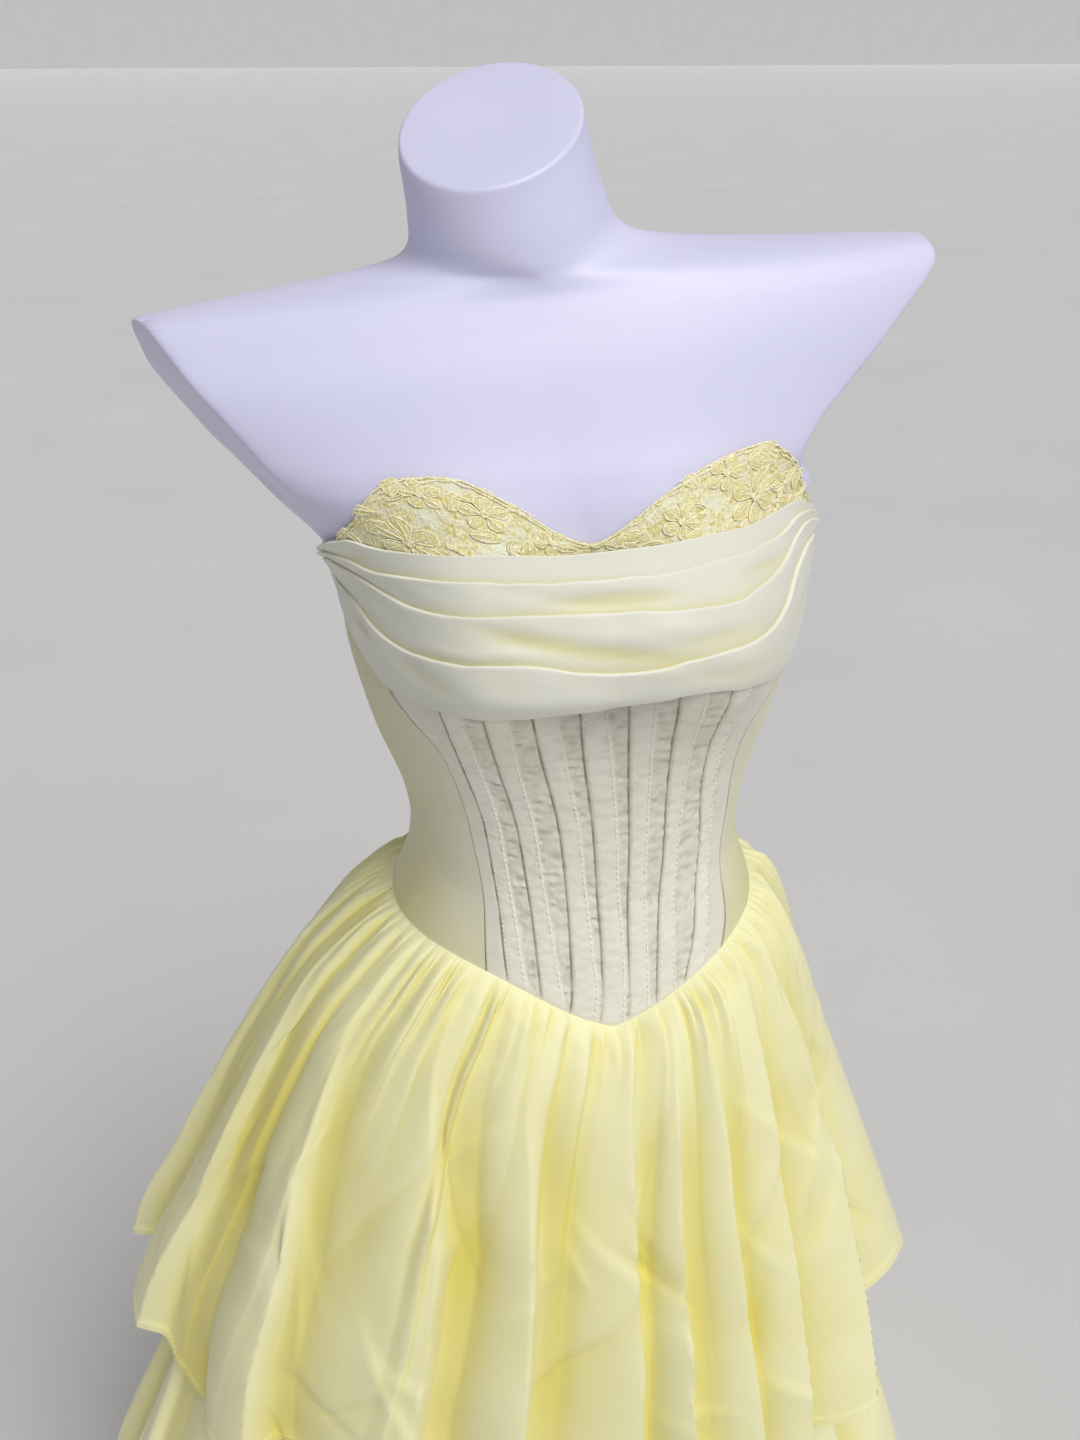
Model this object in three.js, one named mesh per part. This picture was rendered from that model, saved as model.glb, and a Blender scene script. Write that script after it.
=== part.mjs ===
import * as THREE from 'three';

// A strapless prom dress on a limbless dress form: lace cups, a pleated bust drape, a boned
// bodice with a pointed waist seam and a gathered skirt in two tiers, held out by a hip yoke.
// Millimetres, +Z up, front towards -Y, floor at z = 0, origin under the middle of the base.
// Angles are degrees round the body from centre front, positive towards +X.

const seamGap = 0.3;
const cloth = { ease: 1.2, bodice: 2.0, drape: 1.2, skirt: 1.5, hemRoll: 1.2 };
const lift = {
  bodice: cloth.ease + cloth.bodice,
  drape: cloth.ease + cloth.bodice + 0.8 + cloth.drape,
  yoke: cloth.ease + cloth.skirt,
  upperTier: cloth.ease + 2 * cloth.skirt + 0.6,
};
const base = { radius: 160, bevel: 2, edge: 9, shoulder: 42, crown: 14, hubFoot: 26, hub: 22, top: 44 };
const pole = { radius: 13, neck: 20, flare: 12, flangeRadius: 48, flange: 8, sides: 24 };
const formBottom = 800;
const sideSeam = 98;
const bustSeamHeight = 1203; // under the drape, just above its lower edge
const yokeHem = 822;
const yokeTuck = 2.5; // the yoke's upper edge lies this far below the waist seam
const lowerHem = 18;

const table = (names, rows) =>
  rows.map((row) => Object.fromEntries(names.map((name, k) => [name, row[k]])));

// The form's level sections: roundness is the power of the oval, lean and roll tilt a section
const formSections = table(
  ['z', 'middle', 'half', 'front', 'back', 'round', 'lean', 'roll'],
  [
    [formBottom, 0, 156, 102, 112, 2.2, 0, 0],
    [850, 4, 152, 99, 110, 2.2, 0, 0],
    [900, 8, 145, 95, 103, 2.2, 0, 0],
    [950, 13, 133, 90, 94, 2.2, 0, 0],
    [1000, 17, 117, 84, 85, 2.2, 0, 0],
    [1045, 18, 103, 80, 79, 2.2, 0, 0],
    [1090, 18, 106, 82, 80, 2.2, 0, 0],
    [1140, 16, 120, 88, 85, 2.2, 0, 0],
    [1190, 15, 130, 92, 90, 2.2, 0, 0],
    [1240, 14, 134, 92, 92, 2.2, 0, 0.01],
    [1280, 3, 151, 88, 88, 2.2, 0, 0.03],
    [1300, -2, 178, 83, 85, 2.15, 0, 0.04],
    [1318, -6, 200, 76, 80, 2.1, 0, 0.05],
    [1350, -9, 234, 64, 72, 1.9, 0, 0.07],
    [1372, -4, 240, 54, 62, 1.7, 0, 0.078],
    [1385, -4, 224, 48, 56, 1.5, 0, 0.076],
    [1391, -8, 160, 47, 54, 1.4, 0, 0.076],
    [1395, -12, 86, 47, 53, 1.5, 0.03, 0.08],
    [1404, -17, 57, 48, 51, 1.8, 0.12, 0.1],
    [1424, -22, 49.5, 48, 49, 2, 0.32, 0.16],
    [1450, -27.5, 46.5, 47, 48, 2, 0.5, 0.22],
    [1458, -28.5, 45.5, 47, 48, 2, 0.5, 0.22],
  ],
);
// Rows of faces between one section and the next: closer where the form curves more
const formSteps = [1, 1, 1, 1, 2, 2, 2, 2, 3, 3, 2, 1, 2, 1, 1, 1, 1, 1, 1, 1, 1];
const formColumns = 36;
const bust = { apart: 64, height: 1205, width: 46, above: 62, below: 44, frontShare: 3 };
const bustOut = { form: 29, dress: 34 };
// The cut faces where arms would start, by height: how far each lies from the middle, and
// how much nearer it comes for each millimetre towards the front
const armCuts = table(['z', 'left', 'right'], [
  [1262, 160, 152], [1290, 160, 143], [1310, 167, 155], [1345, 183, 195], [1372, 201, 214],
  [1385, 206, 210], [1392, 202, 202], [1400, 187, 189],
]);
const armSlant = { left: 0.41, right: 0.27 };

// Heights of the neckline round the body
const neckline = table(['angle', 'z'], [
  [-180, 1232], [-150, 1236], [-120, 1243], [-90, 1250], [-74, 1257], [-62, 1267],
  [-53, 1276], [-42, 1288], [-34, 1298], [-28, 1306], [-22, 1309], [-15, 1306], [-9, 1291],
  [-4, 1278], [0, 1272], [3, 1274], [7, 1280], [14, 1292], [22, 1303], [31, 1308],
  [35, 1306], [40, 1300], [50, 1287], [60, 1272], [74, 1257], [90, 1250], [120, 1243],
  [150, 1236], [180, 1232],
]);
// Half the angle that the boned front takes, and how far the bodice is turned on the form
const frontSeams = table(['z', 'half', 'turn'], [
  [940, 32, 5], [974, 35, 6], [1004, 40, 7], [1071, 46, 5], [1125, 43, 1.5], [1150, 45, 1],
  [1170, 52, 0], [1190, 59, 0], [1262, 72, 0], [1320, 72, 0],
]);
// Centre line of each boning channel on the boned front
const boning = table(['z', 'a', 'b', 'c', 'd', 'e', 'f', 'g'], [
  [945, -15, -7.5, -2.2, 5, 12, 20, 27],
  [970, -18.5, -9.5, -1.6, 5, 11.6, 20, 29.5],
  [1010, -24.5, -14, -3.7, 4, 11.3, 20.8, 35],
  [1060, -31.2, -19.4, -6.6, 2.4, 11.5, 23.3, 39.2],
  [1122, -32.8, -21.8, -9.3, 0.3, 9.6, 20.8, 33],
  [1190, -37, -25.5, -14, -2.5, 7.8, 18.1, 30],
]);
const channel = { half: 5.2, flank: 0.8, height: 0.9, fade: 6 };
// Radii that turn a width on the cloth into an angle
const cupRadius = 118;
const corsetRadius = 110;
const waistPoint = { angle: 5, side: 1003, dip: 56, left: 28, right: 40, power: 1.3 };

// The drape's top edge, its three folded edges and its lower edge
const drapeLines = table(['angle', 'top', 'first', 'second', 'third', 'hem'], [
  [-97, 1247, 1245, 1241, 1235, 1221],
  [-85, 1251, 1249, 1245, 1237, 1218],
  [-70, 1264, 1261, 1256, 1234, 1203],
  [-58, 1272, 1263, 1253, 1221, 1189],
  [-49, 1276, 1259, 1246, 1217, 1188],
  [-40, 1273, 1259, 1242, 1218, 1189],
  [-20, 1271, 1258, 1243, 1220, 1193],
  [0, 1269, 1256, 1241, 1214, 1196],
  [20, 1271, 1258.5, 1240, 1219, 1200.5],
  [32, 1272, 1260, 1243, 1221, 1196],
  [42, 1274, 1262, 1248, 1226, 1190],
  [50, 1275, 1267, 1257, 1240, 1188],
  [58, 1270, 1266, 1261, 1248, 1192],
  [70, 1260, 1258, 1255, 1247, 1202],
  [85, 1249, 1247, 1243, 1236, 1216],
  [97, 1247, 1245, 1242, 1237, 1219],
]);
const drapeHalf = 97;
// A band of the drape stands off more towards its folded edge; the last band lies flatter
const pleat = { stand: 3.4, middle: 0.55, lastMiddle: 0.2, lastTop: 0.25, lip: 1.6, bridge: 0.85 };

// Lace flowers on the cups: where each lies, its radius, petals and turn
const flowers = table(['angle', 'below', 'radius', 'petals', 'turn'], [
  [-33, 22, 15, 6, 15], [-52, 17, 10, 5, 20], [-15, 16, 9, 5, 0], [-23, 8, 7.5, 5, 10],
  [-6, 9, 6.5, 5, 30], [5, 8, 6, 5, 10], [34, 23, 14, 6, 35], [17, 18, 9, 5, 60],
  [50, 17, 10, 5, 50], [25, 8, 8, 5, 0], [43, 9, 7.5, 6, 15], [57, 11, 6.5, 5, 5],
  [-59, 10, 6.5, 5, 5],
]);
const lace = { height: 0.9, dome: 0.45, notch: 0.32, aboveDrape: 2 };

// How far each tier stands out at a drop below the waist seam, to the side, front and back
const upperProfile = table(['drop', 'side', 'front', 'back', 'sway'], [
  [0, 0, 0, 0, 0],
  [10, 13, 10, 11, -2],
  [28, 31, 24, 28, -6],
  [62, 55, 39, 48, -14],
  [148, 99, 64, 86, -27],
  [233, 136, 84, 118, -32],
  [313, 173, 98, 146, -38],
  [413, 208, 110, 174, -40],
  [470, 226, 116, 188, -42],
]);
const upperHem = table(['angle', 'z'], [
  [-180, 600], [-140, 606], [-108, 638], [-92, 646], [-80, 640], [-66, 612], [-50, 604],
  [-33, 620], [-10, 610], [12, 598], [33, 586], [45, 586], [54, 606], [62, 640], [72, 640],
  [81, 620], [95, 608], [130, 602], [180, 600],
]);
// Each fold's crest and the valley after it, at the waist, half way and at the hem
const upperFolds = table(
  ['crestTop', 'crestMid', 'crestHem', 'valleyTop', 'valleyMid', 'valleyHem', 'depth'],
  [
    [-103, -100, -101, -95, -90, -93, 22],
    [-84, -80, -84, -67, -64, -58, 34],
    [-59, -50, -45, -51, -42, -37, 26],
    [-36, -22, -20, -22, -13, -14, 30],
    [-13, -6, -7, -1, 1, 0, 22],
    [7, 10, 9, 15, 14, 13, 24],
    [18, 17, 15, 21, 22, 21, 14],
    [27, 26, 26, 34, 32, 30, 18],
    [42, 39, 34, 48, 43, 38, 26],
    [54, 56, 45, 63, 66, 58, 42],
    [72, 82, 79, 92, 96, 98, 26],
    [108, 110, 112, 118, 120, 122, 24],
    [130, 131, 133, 140, 141, 143, 26],
    [150, 152, 154, 160, 161, 163, 24],
    [171, 172, 174, 181, 182, 183, 26],
    [191, 192, 193, 202, 203, 204, 24],
    [214, 214, 214, 224, 224, 225, 26],
    [236, 236, 236, 246, 247, 248, 22],
  ],
);
const upperTurn = 0.07; // the hem is turned on the body: forward on one side, back on the other
const middleShare = 0.45; // where down the tier the folds' middle angles hold
const foldGrowth = { upper: 0.75, lower: 0.8 };
const gather = { count: 60, height: 1.9, fade: 34, rise: 4, least: 0.25 };
const lowerGather = { count: 40, height: 1.4, fade: 0.06 };

// The lower tier and the yoke above it, by height: half width, front, back and middle
const yokeProfile = table(['z', 'half', 'front', 'back', 'middle'], [
  [yokeHem, 184, 121, 140, 2], [860, 168, 112, 128, 5], [900, 152, 102, 112, 9],
  [1003, 118, 86, 87, 17],
]);
const lowerProfile = table(['z', 'half', 'front', 'back', 'middle'], [
  [lowerHem, 440, 345, 405, -30], [100, 426, 326, 390, -30], [200, 404, 300, 367, -30],
  [360, 363, 252, 325, -30], [500, 312, 188, 262, -24], [560, 290, 160, 236, -20],
  [600, 276, 148, 222, -18], [700, 238, 139, 188, -10], [780, 203, 128, 158, -2],
  [yokeHem, 184, 121, 140, 2],
]);
const ovalPower = 0.95;
const yokeRelease = 1.6; // how soon down its height the yoke hangs free of the form
const lowerFolds = table(['crest', 'valley', 'depth'], [
  [-172, -160, 26], [-148, -137, 30], [-126, -116, 26], [-104, -95, 30], [-84, -72, 24],
  [-60, -49, 32], [-38, -28, 28], [-17, -7, 26], [4, 15, 32], [26, 36, 26], [47, 58, 30],
  [70, 80, 26], [90, 101, 30], [112, 123, 26], [134, 145, 30], [156, 170, 28],
]);

const colours = {
  form: 0xdcdaf0, metal: 0xc9ccd2, satin: 0xeeeeda, boned: 0xd9d5c9, lace: 0xe3d889,
  chiffon: 0xedebb0, lining: 0xe6e2b4,
};
const finish = (color, roughness, metalness = 0) =>
  new THREE.MeshStandardMaterial({ color, roughness, metalness });
const materials = {
  form: finish(colours.form, 0.55),
  metal: finish(colours.metal, 0.35, 1),
  satin: finish(colours.satin, 0.6),
  boned: finish(colours.boned, 0.65),
  lace: finish(colours.lace, 0.7),
  chiffon: finish(colours.chiffon, 0.6),
  lining: finish(colours.lining, 0.7),
};

const radians = THREE.MathUtils.degToRad;
const mix = THREE.MathUtils.lerp;
const clamp = THREE.MathUtils.clamp;
const probe = { angle: 0.6, height: 2, skirtAngle: 0.8, skirtShare: 0.01 }; // for normals
const signedPower = (value, power) => Math.sign(value) * Math.abs(value) ** power;

function curveThrough(before, from, to, after, t) {
  const bend = 2 * before - 5 * from + 4 * to - after;
  const twist = 3 * from - before - 3 * to + after;
  return from + 0.5 * t * (to - before + t * (bend + t * twist));
}

// Every column of a table at a place between its rows, where index counts the rows
function readRows(rows, index) {
  const k = Math.floor(clamp(index, 0, rows.length - 1 - 1e-9));
  const row = (n) => rows[clamp(n, 0, rows.length - 1)];
  const read = {};
  for (const name of Object.keys(rows[0])) {
    const around = [row(k - 1)[name], row(k)[name], row(k + 1)[name], row(k + 2)[name]];
    read[name] = curveThrough(...around, index - k);
  }
  return read;
}

// The row index at which the column called by has the value wanted
function indexOf(rows, by, wanted) {
  const rising = rows[1][by] > rows[0][by] ? 1 : -1;
  let low = 0;
  let high = rows.length - 1;
  for (let halving = 0; halving < 26; halving += 1) {
    const middle = (low + high) / 2;
    if ((readRows(rows, middle)[by] - wanted) * rising < 0) low = middle;
    else high = middle;
  }
  return (low + high) / 2;
}

const lookUp = (rows, by, wanted) => readRows(rows, indexOf(rows, by, wanted));

// Height of the two bust lobes; the bridge fills the hollow between them
function bustLift(x, z, out, bridge) {
  const aside = Math.abs(x) - bust.apart;
  let across = Math.exp(-((aside / bust.width) ** 2));
  if (aside < 0) across = 1 - (1 - across) * (1 - bridge);
  const reach = z > bust.height ? bust.above : bust.below;
  return out * across * Math.exp(-(((z - bust.height) / reach) ** 2));
}

function bodyPoint(angle, index, out = bustOut.dress, bridge = 0) {
  const section = readRows(formSections, index);
  const sine = Math.sin(radians(angle));
  const cosine = Math.cos(radians(angle));
  let x = section.half * signedPower(sine, 2 / section.round);
  const side = cosine > 0 ? section.front : section.back;
  const depth = side * signedPower(cosine, 2 / section.round);
  if (section.z > armCuts[0].z) {
    const cut = lookUp(armCuts, 'z', section.z);
    x = clamp(x, armSlant.left * depth - cut.left, cut.right - armSlant.right * depth);
  }
  const facing = clamp(bust.frontShare * cosine, 0, 1);
  const chest = facing > 0 ? bustLift(x, section.z, out, bridge) * facing : 0;
  const y = -depth - chest;
  const z = section.z + section.lean * y + section.roll * x;
  return new THREE.Vector3(x + section.middle, y, z);
}

const dressSurface = (angle, z) => bodyPoint(angle, indexOf(formSections, 'z', z));
const drapeSurface = (angle, z) =>
  bodyPoint(angle, indexOf(formSections, 'z', z), bustOut.dress, pleat.bridge);

// A point of a surface moved out along its normal; the second number of a surface is a height
function raised(surface, angle, z, distance) {
  const across = surface(angle + probe.angle, z).sub(surface(angle - probe.angle, z));
  const up = surface(angle, z + probe.height).sub(surface(angle, z - probe.height));
  return surface(angle, z).addScaledVector(across.cross(up).normalize(), distance);
}

const steps = (count) => Array.from({ length: count + 1 }, (unused, k) => k / count);
const gridOf = (across, up, point) => up.map((v) => across.map((s) => point(s, v)));

function solid(name, material, points, faces) {
  const geometry = new THREE.BufferGeometry();
  const flat = points.flatMap((point) => [point.x, point.y, point.z]);
  geometry.setAttribute('position', new THREE.Float32BufferAttribute(flat, 3));
  geometry.setIndex(faces);
  geometry.computeVertexNormals();
  const mesh = new THREE.Mesh(geometry, material);
  mesh.name = name;
  return mesh;
}

// Grid places round the edge of a grid, counter-clockwise seen from outside
function rim(columns, rows) {
  const loop = [];
  for (let i = 0; i < columns; i += 1) loop.push([i, 0]);
  for (let j = 0; j < rows; j += 1) loop.push([columns, j]);
  for (let i = columns; i > 0; i -= 1) loop.push([i, rows]);
  for (let j = rows; j > 0; j -= 1) loop.push([0, j]);
  return loop;
}

// A closed cloth wall from its outer and inner grids; the inner grid may be a coarser one
function wall(name, material, outer, inner) {
  const points = [...outer.flat(), ...inner.flat()];
  const faces = [];
  const width = (grid) => grid[0].length;
  const outerPoint = (i, j) => j * width(outer) + i;
  const innerPoint = (i, j) => outer.length * width(outer) + j * width(inner) + i;
  const skin = (grid, point, inward) => {
    for (let j = 0; j < grid.length - 1; j += 1) {
      for (let i = 0; i < width(grid) - 1; i += 1) {
        const corners = [point(i, j), point(i + 1, j), point(i + 1, j + 1), point(i, j + 1)];
        if (inward) corners.reverse();
        faces.push(corners[0], corners[1], corners[2], corners[0], corners[2], corners[3]);
      }
    }
  };
  skin(outer, outerPoint, false);
  skin(inner, innerPoint, true);
  const columns = width(outer) - 1;
  const rows = outer.length - 1;
  const across = (width(inner) - 1) / columns;
  const up = (inner.length - 1) / rows;
  const behind = ([i, j]) => innerPoint(Math.round(i * across), Math.round(j * up));
  const loop = rim(columns, rows);
  loop.forEach((from, k) => {
    const to = loop[(k + 1) % loop.length];
    const [a, b] = [outerPoint(...from), outerPoint(...to)];
    const [c, d] = [behind(from), behind(to)];
    faces.push(b, a, c);
    if (c !== d) faces.push(b, c, d);
  });
  return solid(name, material, points, faces);
}

const wrapped = (angle) => ((angle + 540) % 360) - 180;
const waistHeight = (angle) => {
  const aside = wrapped(angle - waistPoint.angle);
  const spread = Math.abs(aside) / (aside < 0 ? waistPoint.left : waistPoint.right);
  return waistPoint.side - waistPoint.dip * Math.exp(-(spread ** waistPoint.power));
};
const necklineHeight = (angle) => lookUp(neckline, 'angle', wrapped(angle)).z;
// The seam between front and side panels, on the side given by its sign
const frontSeam = (side, z) => {
  const seam = lookUp(frontSeams, 'z', z);
  return side * seam.half + seam.turn;
};
const aroundGap = 0.075; // half a seam's gap, in degrees

// Height at a place up the bodice: 0 at the waist, 1 at the seam under the bust, 2 at the top
function bodiceHeight(angle, place) {
  const half = seamGap / 2;
  if (place <= 1) return mix(waistHeight(angle), bustSeamHeight - half, place);
  return mix(bustSeamHeight + half, necklineHeight(angle), place - 1);
}

// A bodice panel between two seams; relief(angle, z) is its outer height
function bodicePanel(panel) {
  const locate = (s, place) => {
    let z = place > 1 ? 1250 : 1050;
    let angle = 0;
    for (let pass = 0; pass < 4; pass += 1) {
      angle = mix(panel.left(z) + aroundGap, panel.right(z) - aroundGap, s);
      z = bodiceHeight(angle, place);
    }
    return [angle, z];
  };
  const relief = panel.relief ?? (() => 0);
  const outer = gridOf(panel.across, panel.up, (s, place) => {
    const [angle, z] = locate(s, place);
    return raised(dressSurface, angle, z, lift.bodice + relief(angle, z));
  });
  const every = (list, by) => list.filter((unused, k) => k % by === 0);
  const inner = gridOf(every(panel.across, panel.innerEvery ?? 1), panel.up, (s, place) =>
    raised(dressSurface, ...locate(s, place), cloth.ease));
  return wall(panel.name, panel.material, outer, inner);
}

// Height of the lace flowers at a place on the cups
function laceRelief(angle, z) {
  let height = 0;
  if (z < lookUp(drapeLines, 'angle', angle).top + lace.aboveDrape) return height;
  const below = necklineHeight(angle) - z;
  for (const flower of flowers) {
    const across = radians(angle - flower.angle) * cupRadius;
    const away = Math.hypot(across, below - flower.below);
    const turn = Math.atan2(below - flower.below, across) + radians(flower.turn);
    const round = Math.abs(Math.cos((turn * flower.petals) / 2));
    const petal = flower.radius * (1 - lace.notch + lace.notch * round);
    if (away < petal) {
      height = Math.max(height, lace.height * (1 - lace.dome * (away / petal) ** 4));
    }
  }
  return height;
}

const hiddenShare = 0.6; // the part of a cup's height that the drape covers
const aboveSeam = 1.0001;
const cupUp = [
  aboveSeam,
  ...steps(3).slice(1).map((v) => 1 + v * hiddenShare),
  ...steps(10).slice(1).map((v) => 1 + hiddenShare + v * (1 - hiddenShare)),
];
const bodyUp = [0, 0.03, ...steps(8).slice(1, 8), 0.96, 1];

const cup = (side) => bodicePanel({
  name: side < 0 ? 'cup_left' : 'cup_right',
  material: materials.lace,
  across: steps(33),
  up: cupUp,
  innerEvery: 3,
  left: (z) => (side < 0 ? frontSeam(-1, z) : 0),
  right: (z) => (side < 0 ? 0 : frontSeam(1, z)),
  relief: laceRelief,
});

// The boned front: a column of points on each side of every channel's two stitched edges
function bonedFront() {
  const names = ['a', 'b', 'c', 'd', 'e', 'f', 'g'];
  const toDegrees = 1 / radians(corsetRadius);
  const outside = channel.half + channel.flank;
  const edges = [-outside, -channel.half, channel.half, outside];
  const columns = names.flatMap((name) => edges.map((edge) => ({
    angle: (z) => lookUp(boning, 'z', z)[name] + edge * toDegrees,
    height: Math.abs(edge) > channel.half ? 0 : channel.height,
  })));
  // Plain cloth between the outer channels and the seams: one more column left, two right
  const [first, last] = [columns[0], columns[columns.length - 1]];
  const plain = (channelEdge, side, share) => ({
    angle: (z) => mix(channelEdge.angle(z), frontSeam(side, z) - side * aroundGap, share),
    height: 0,
  });
  columns.unshift(plain(first, -1, 1), plain(first, -1, 1 / 2));
  columns.push(plain(last, 1, 1 / 3), plain(last, 1, 2 / 3), plain(last, 1, 1));
  const locate = (column, place) => {
    let z = 1100;
    for (let pass = 0; pass < 4; pass += 1) z = bodiceHeight(column.angle(z), place);
    return [column.angle(z), z];
  };
  const outer = gridOf(columns, bodyUp, (column, place) => {
    const [angle, z] = locate(column, place);
    // The channels flatten where the drape's lower edge lies over them
    const below = lookUp(drapeLines, 'angle', angle).hem - z;
    const height = place === 0 ? 0 : column.height * clamp(below / channel.fade, 0, 1);
    return raised(dressSurface, angle, z, lift.bodice + height);
  });
  const everySecond = columns.filter((unused, k) => k % 2 === 0);
  const inner = gridOf(everySecond, bodyUp, (column, place) =>
    raised(dressSurface, ...locate(column, place), cloth.ease));
  return wall('corset_front', materials.boned, outer, inner);
}

const sidePanel = (side) => bodicePanel({
  name: side < 0 ? 'side_panel_left' : 'side_panel_right',
  material: materials.satin,
  across: steps(7),
  up: [...bodyUp, ...cupUp],
  left: (z) => (side < 0 ? -sideSeam : frontSeam(1, z)),
  right: (z) => (side < 0 ? frontSeam(-1, z) : sideSeam),
});

const backPanel = (side) => bodicePanel({
  name: side < 0 ? 'back_panel_left' : 'back_panel_right',
  material: materials.satin,
  across: steps(11),
  up: steps(10).map((v) => 2 * v),
  left: () => (side < 0 ? -180 : sideSeam),
  right: () => (side < 0 ? -sideSeam : 180),
});

// The pleated drape: in each of its four bands the cloth rises to a folded upper edge
function bustDrape() {
  const edges = ['hem', 'third', 'second', 'first', 'top'];
  const rows = [];
  edges.slice(1).forEach((upper, band) => {
    const last = band === edges.length - 2;
    rows.push({ lower: edges[band], upper, share: 0, stand: 0, past: band > 0 });
    const middle = last ? pleat.lastMiddle : pleat.middle;
    rows.push({ lower: edges[band], upper, share: pleat.middle, stand: middle });
    rows.push({ lower: edges[band], upper, share: 1, stand: last ? pleat.lastTop : 1 });
  });
  const angles = steps(36).map((s) => mix(-drapeHalf, drapeHalf, s));
  const place = (angle, row) => {
    const line = lookUp(drapeLines, 'angle', angle);
    const tight = 1 - 0.5 * (Math.abs(angle) / drapeHalf) ** 4;
    const z = mix(line[row.lower], line[row.upper], row.share) + (row.past ? pleat.lip : 0);
    return [z, pleat.stand * row.stand * tight];
  };
  const outer = gridOf(angles, rows, (angle, row) => {
    const [z, stand] = place(angle, row);
    return raised(drapeSurface, angle, z, lift.drape + stand);
  });
  const inner = gridOf(angles, steps(11), (angle, v) => {
    const line = lookUp(drapeLines, 'angle', angle);
    return raised(drapeSurface, angle, mix(line.hem, line.top, v), lift.drape - cloth.drape);
  });
  return wall('bust_drape', materials.satin, outer, inner);
}

// How far a fold table lets the cloth fall back from its crests at an angle
function foldBack(folds, angle) {
  const start = folds[0].crest;
  const turned = ((((angle - start) % 360) + 360) % 360) + start;
  let k = folds.length - 1;
  while (folds[k].crest > turned) k -= 1;
  const fold = folds[k];
  const next = folds[(k + 1) % folds.length].crest + (k + 1 === folds.length ? 360 : 0);
  const falling = turned < fold.valley;
  const share = falling
    ? (turned - fold.crest) / (fold.valley - fold.crest)
    : (next - turned) / (next - fold.valley);
  return fold.depth * 0.5 * (1 - Math.cos(Math.PI * share));
}

function overThree(top, middle, hem, share) {
  if (share < middleShare) return mix(top, middle, share / middleShare);
  return mix(middle, hem, (share - middleShare) / (1 - middleShare));
}

function upperFoldsAt(share) {
  return upperFolds.map((fold) => ({
    crest: overThree(fold.crestTop, fold.crestMid, fold.crestHem, share),
    valley: overThree(fold.valleyTop, fold.valleyMid, fold.valleyHem, share),
    depth: fold.depth * share ** foldGrowth.upper,
  }));
}

const hemHeight = (angle) => lookUp(upperHem, 'angle', wrapped(angle)).z;

// The upper tier's surface; share runs from the waist seam to the hem
function upperTierPoint(angle, share) {
  const seamHeight = waistHeight(angle) - seamGap;
  const drop = share * (seamHeight - hemHeight(angle));
  const sine = Math.sin(radians(angle));
  const cosine = Math.cos(radians(angle));
  const start = raised(dressSurface, angle, seamHeight, lift.upperTier);
  const out = lookUp(upperProfile, 'drop', drop);
  const folded = foldBack(upperFoldsAt(share), angle);
  const growth = clamp(drop / gather.rise, gather.least, 1) * Math.exp(-drop / gather.fade);
  const ripple = gather.height * Math.cos(radians(angle * gather.count)) * growth;
  const depth = (cosine > 0 ? out.front : out.back) - folded + ripple;
  const x = start.x + sine * (out.side - folded + ripple) + out.sway;
  const y = start.y - cosine * depth - upperTurn * share * x;
  return new THREE.Vector3(x, y, seamHeight - drop);
}

const skirtNormalPoint = (surface, angle, share, distance) => {
  const aside = probe.skirtAngle;
  const across = surface(angle + aside, share).sub(surface(angle - aside, share));
  const above = Math.max(share - probe.skirtShare, 0);
  const up = surface(angle, above).sub(surface(angle, share + probe.skirtShare));
  return surface(angle, share).addScaledVector(across.cross(up).normalize(), distance);
};

function skirtPanel(name, material, surface, angles, shares, hemRoll) {
  const outer = gridOf(angles, shares, (angle, share) =>
    skirtNormalPoint(surface, angle, share, share === 1 ? hemRoll : 0));
  const inner = gridOf(angles, shares, (angle, share) =>
    skirtNormalPoint(surface, angle, share, -cloth.skirt));
  return wall(name, material, outer, inner);
}

// Angles of a panel's columns, a seam's gap in from each side
function panelAngles(from, to, count, gap) {
  const angles = steps(count).map((s) => mix(from, to, s));
  angles[0] += gap;
  angles[count] -= gap;
  return angles;
}

const upperShares = [1, 0.98, 0.78, 0.55, 0.34, 0.16, 0.05, 0];
const tierGap = 0.05; // half a side seam's gap on a tier, in degrees
const upperTier = (name, from, to, columns) => skirtPanel(
  name, materials.chiffon, upperTierPoint,
  panelAngles(from, to, columns, tierGap), upperShares, cloth.hemRoll,
);

// An oval level section of the yoke or the lower tier
function ovalPoint(profile, angle, z, folded) {
  const section = lookUp(profile, 'z', z);
  const sine = Math.sin(radians(angle));
  const cosine = Math.cos(radians(angle));
  const depth = cosine > 0 ? section.front : section.back;
  return new THREE.Vector3(
    (section.half - folded) * signedPower(sine, ovalPower) + section.middle,
    -(depth - folded) * signedPower(cosine, ovalPower),
    z,
  );
}

function yokePoint(angle, share) {
  const top = waistHeight(angle) - yokeTuck;
  const z = mix(top, yokeHem, share);
  const onForm = raised(dressSurface, angle, z, lift.yoke);
  const hanging = ovalPoint(yokeProfile, angle, z, 0);
  const loose = clamp(share * yokeRelease, 0, 1);
  return onForm.lerp(hanging, loose * loose * (3 - 2 * loose));
}

function lowerTierPoint(angle, share) {
  const z = mix(yokeHem - seamGap, lowerHem, share);
  const growth = share ** foldGrowth.lower;
  const folds = lowerFolds.map((fold) => ({ ...fold, depth: fold.depth * growth }));
  const fade = Math.exp(-share / lowerGather.fade);
  const ripple = lowerGather.height * Math.cos(radians(angle * lowerGather.count)) * fade;
  return ovalPoint(lowerProfile, angle, z, foldBack(folds, angle) - ripple);
}

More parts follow.
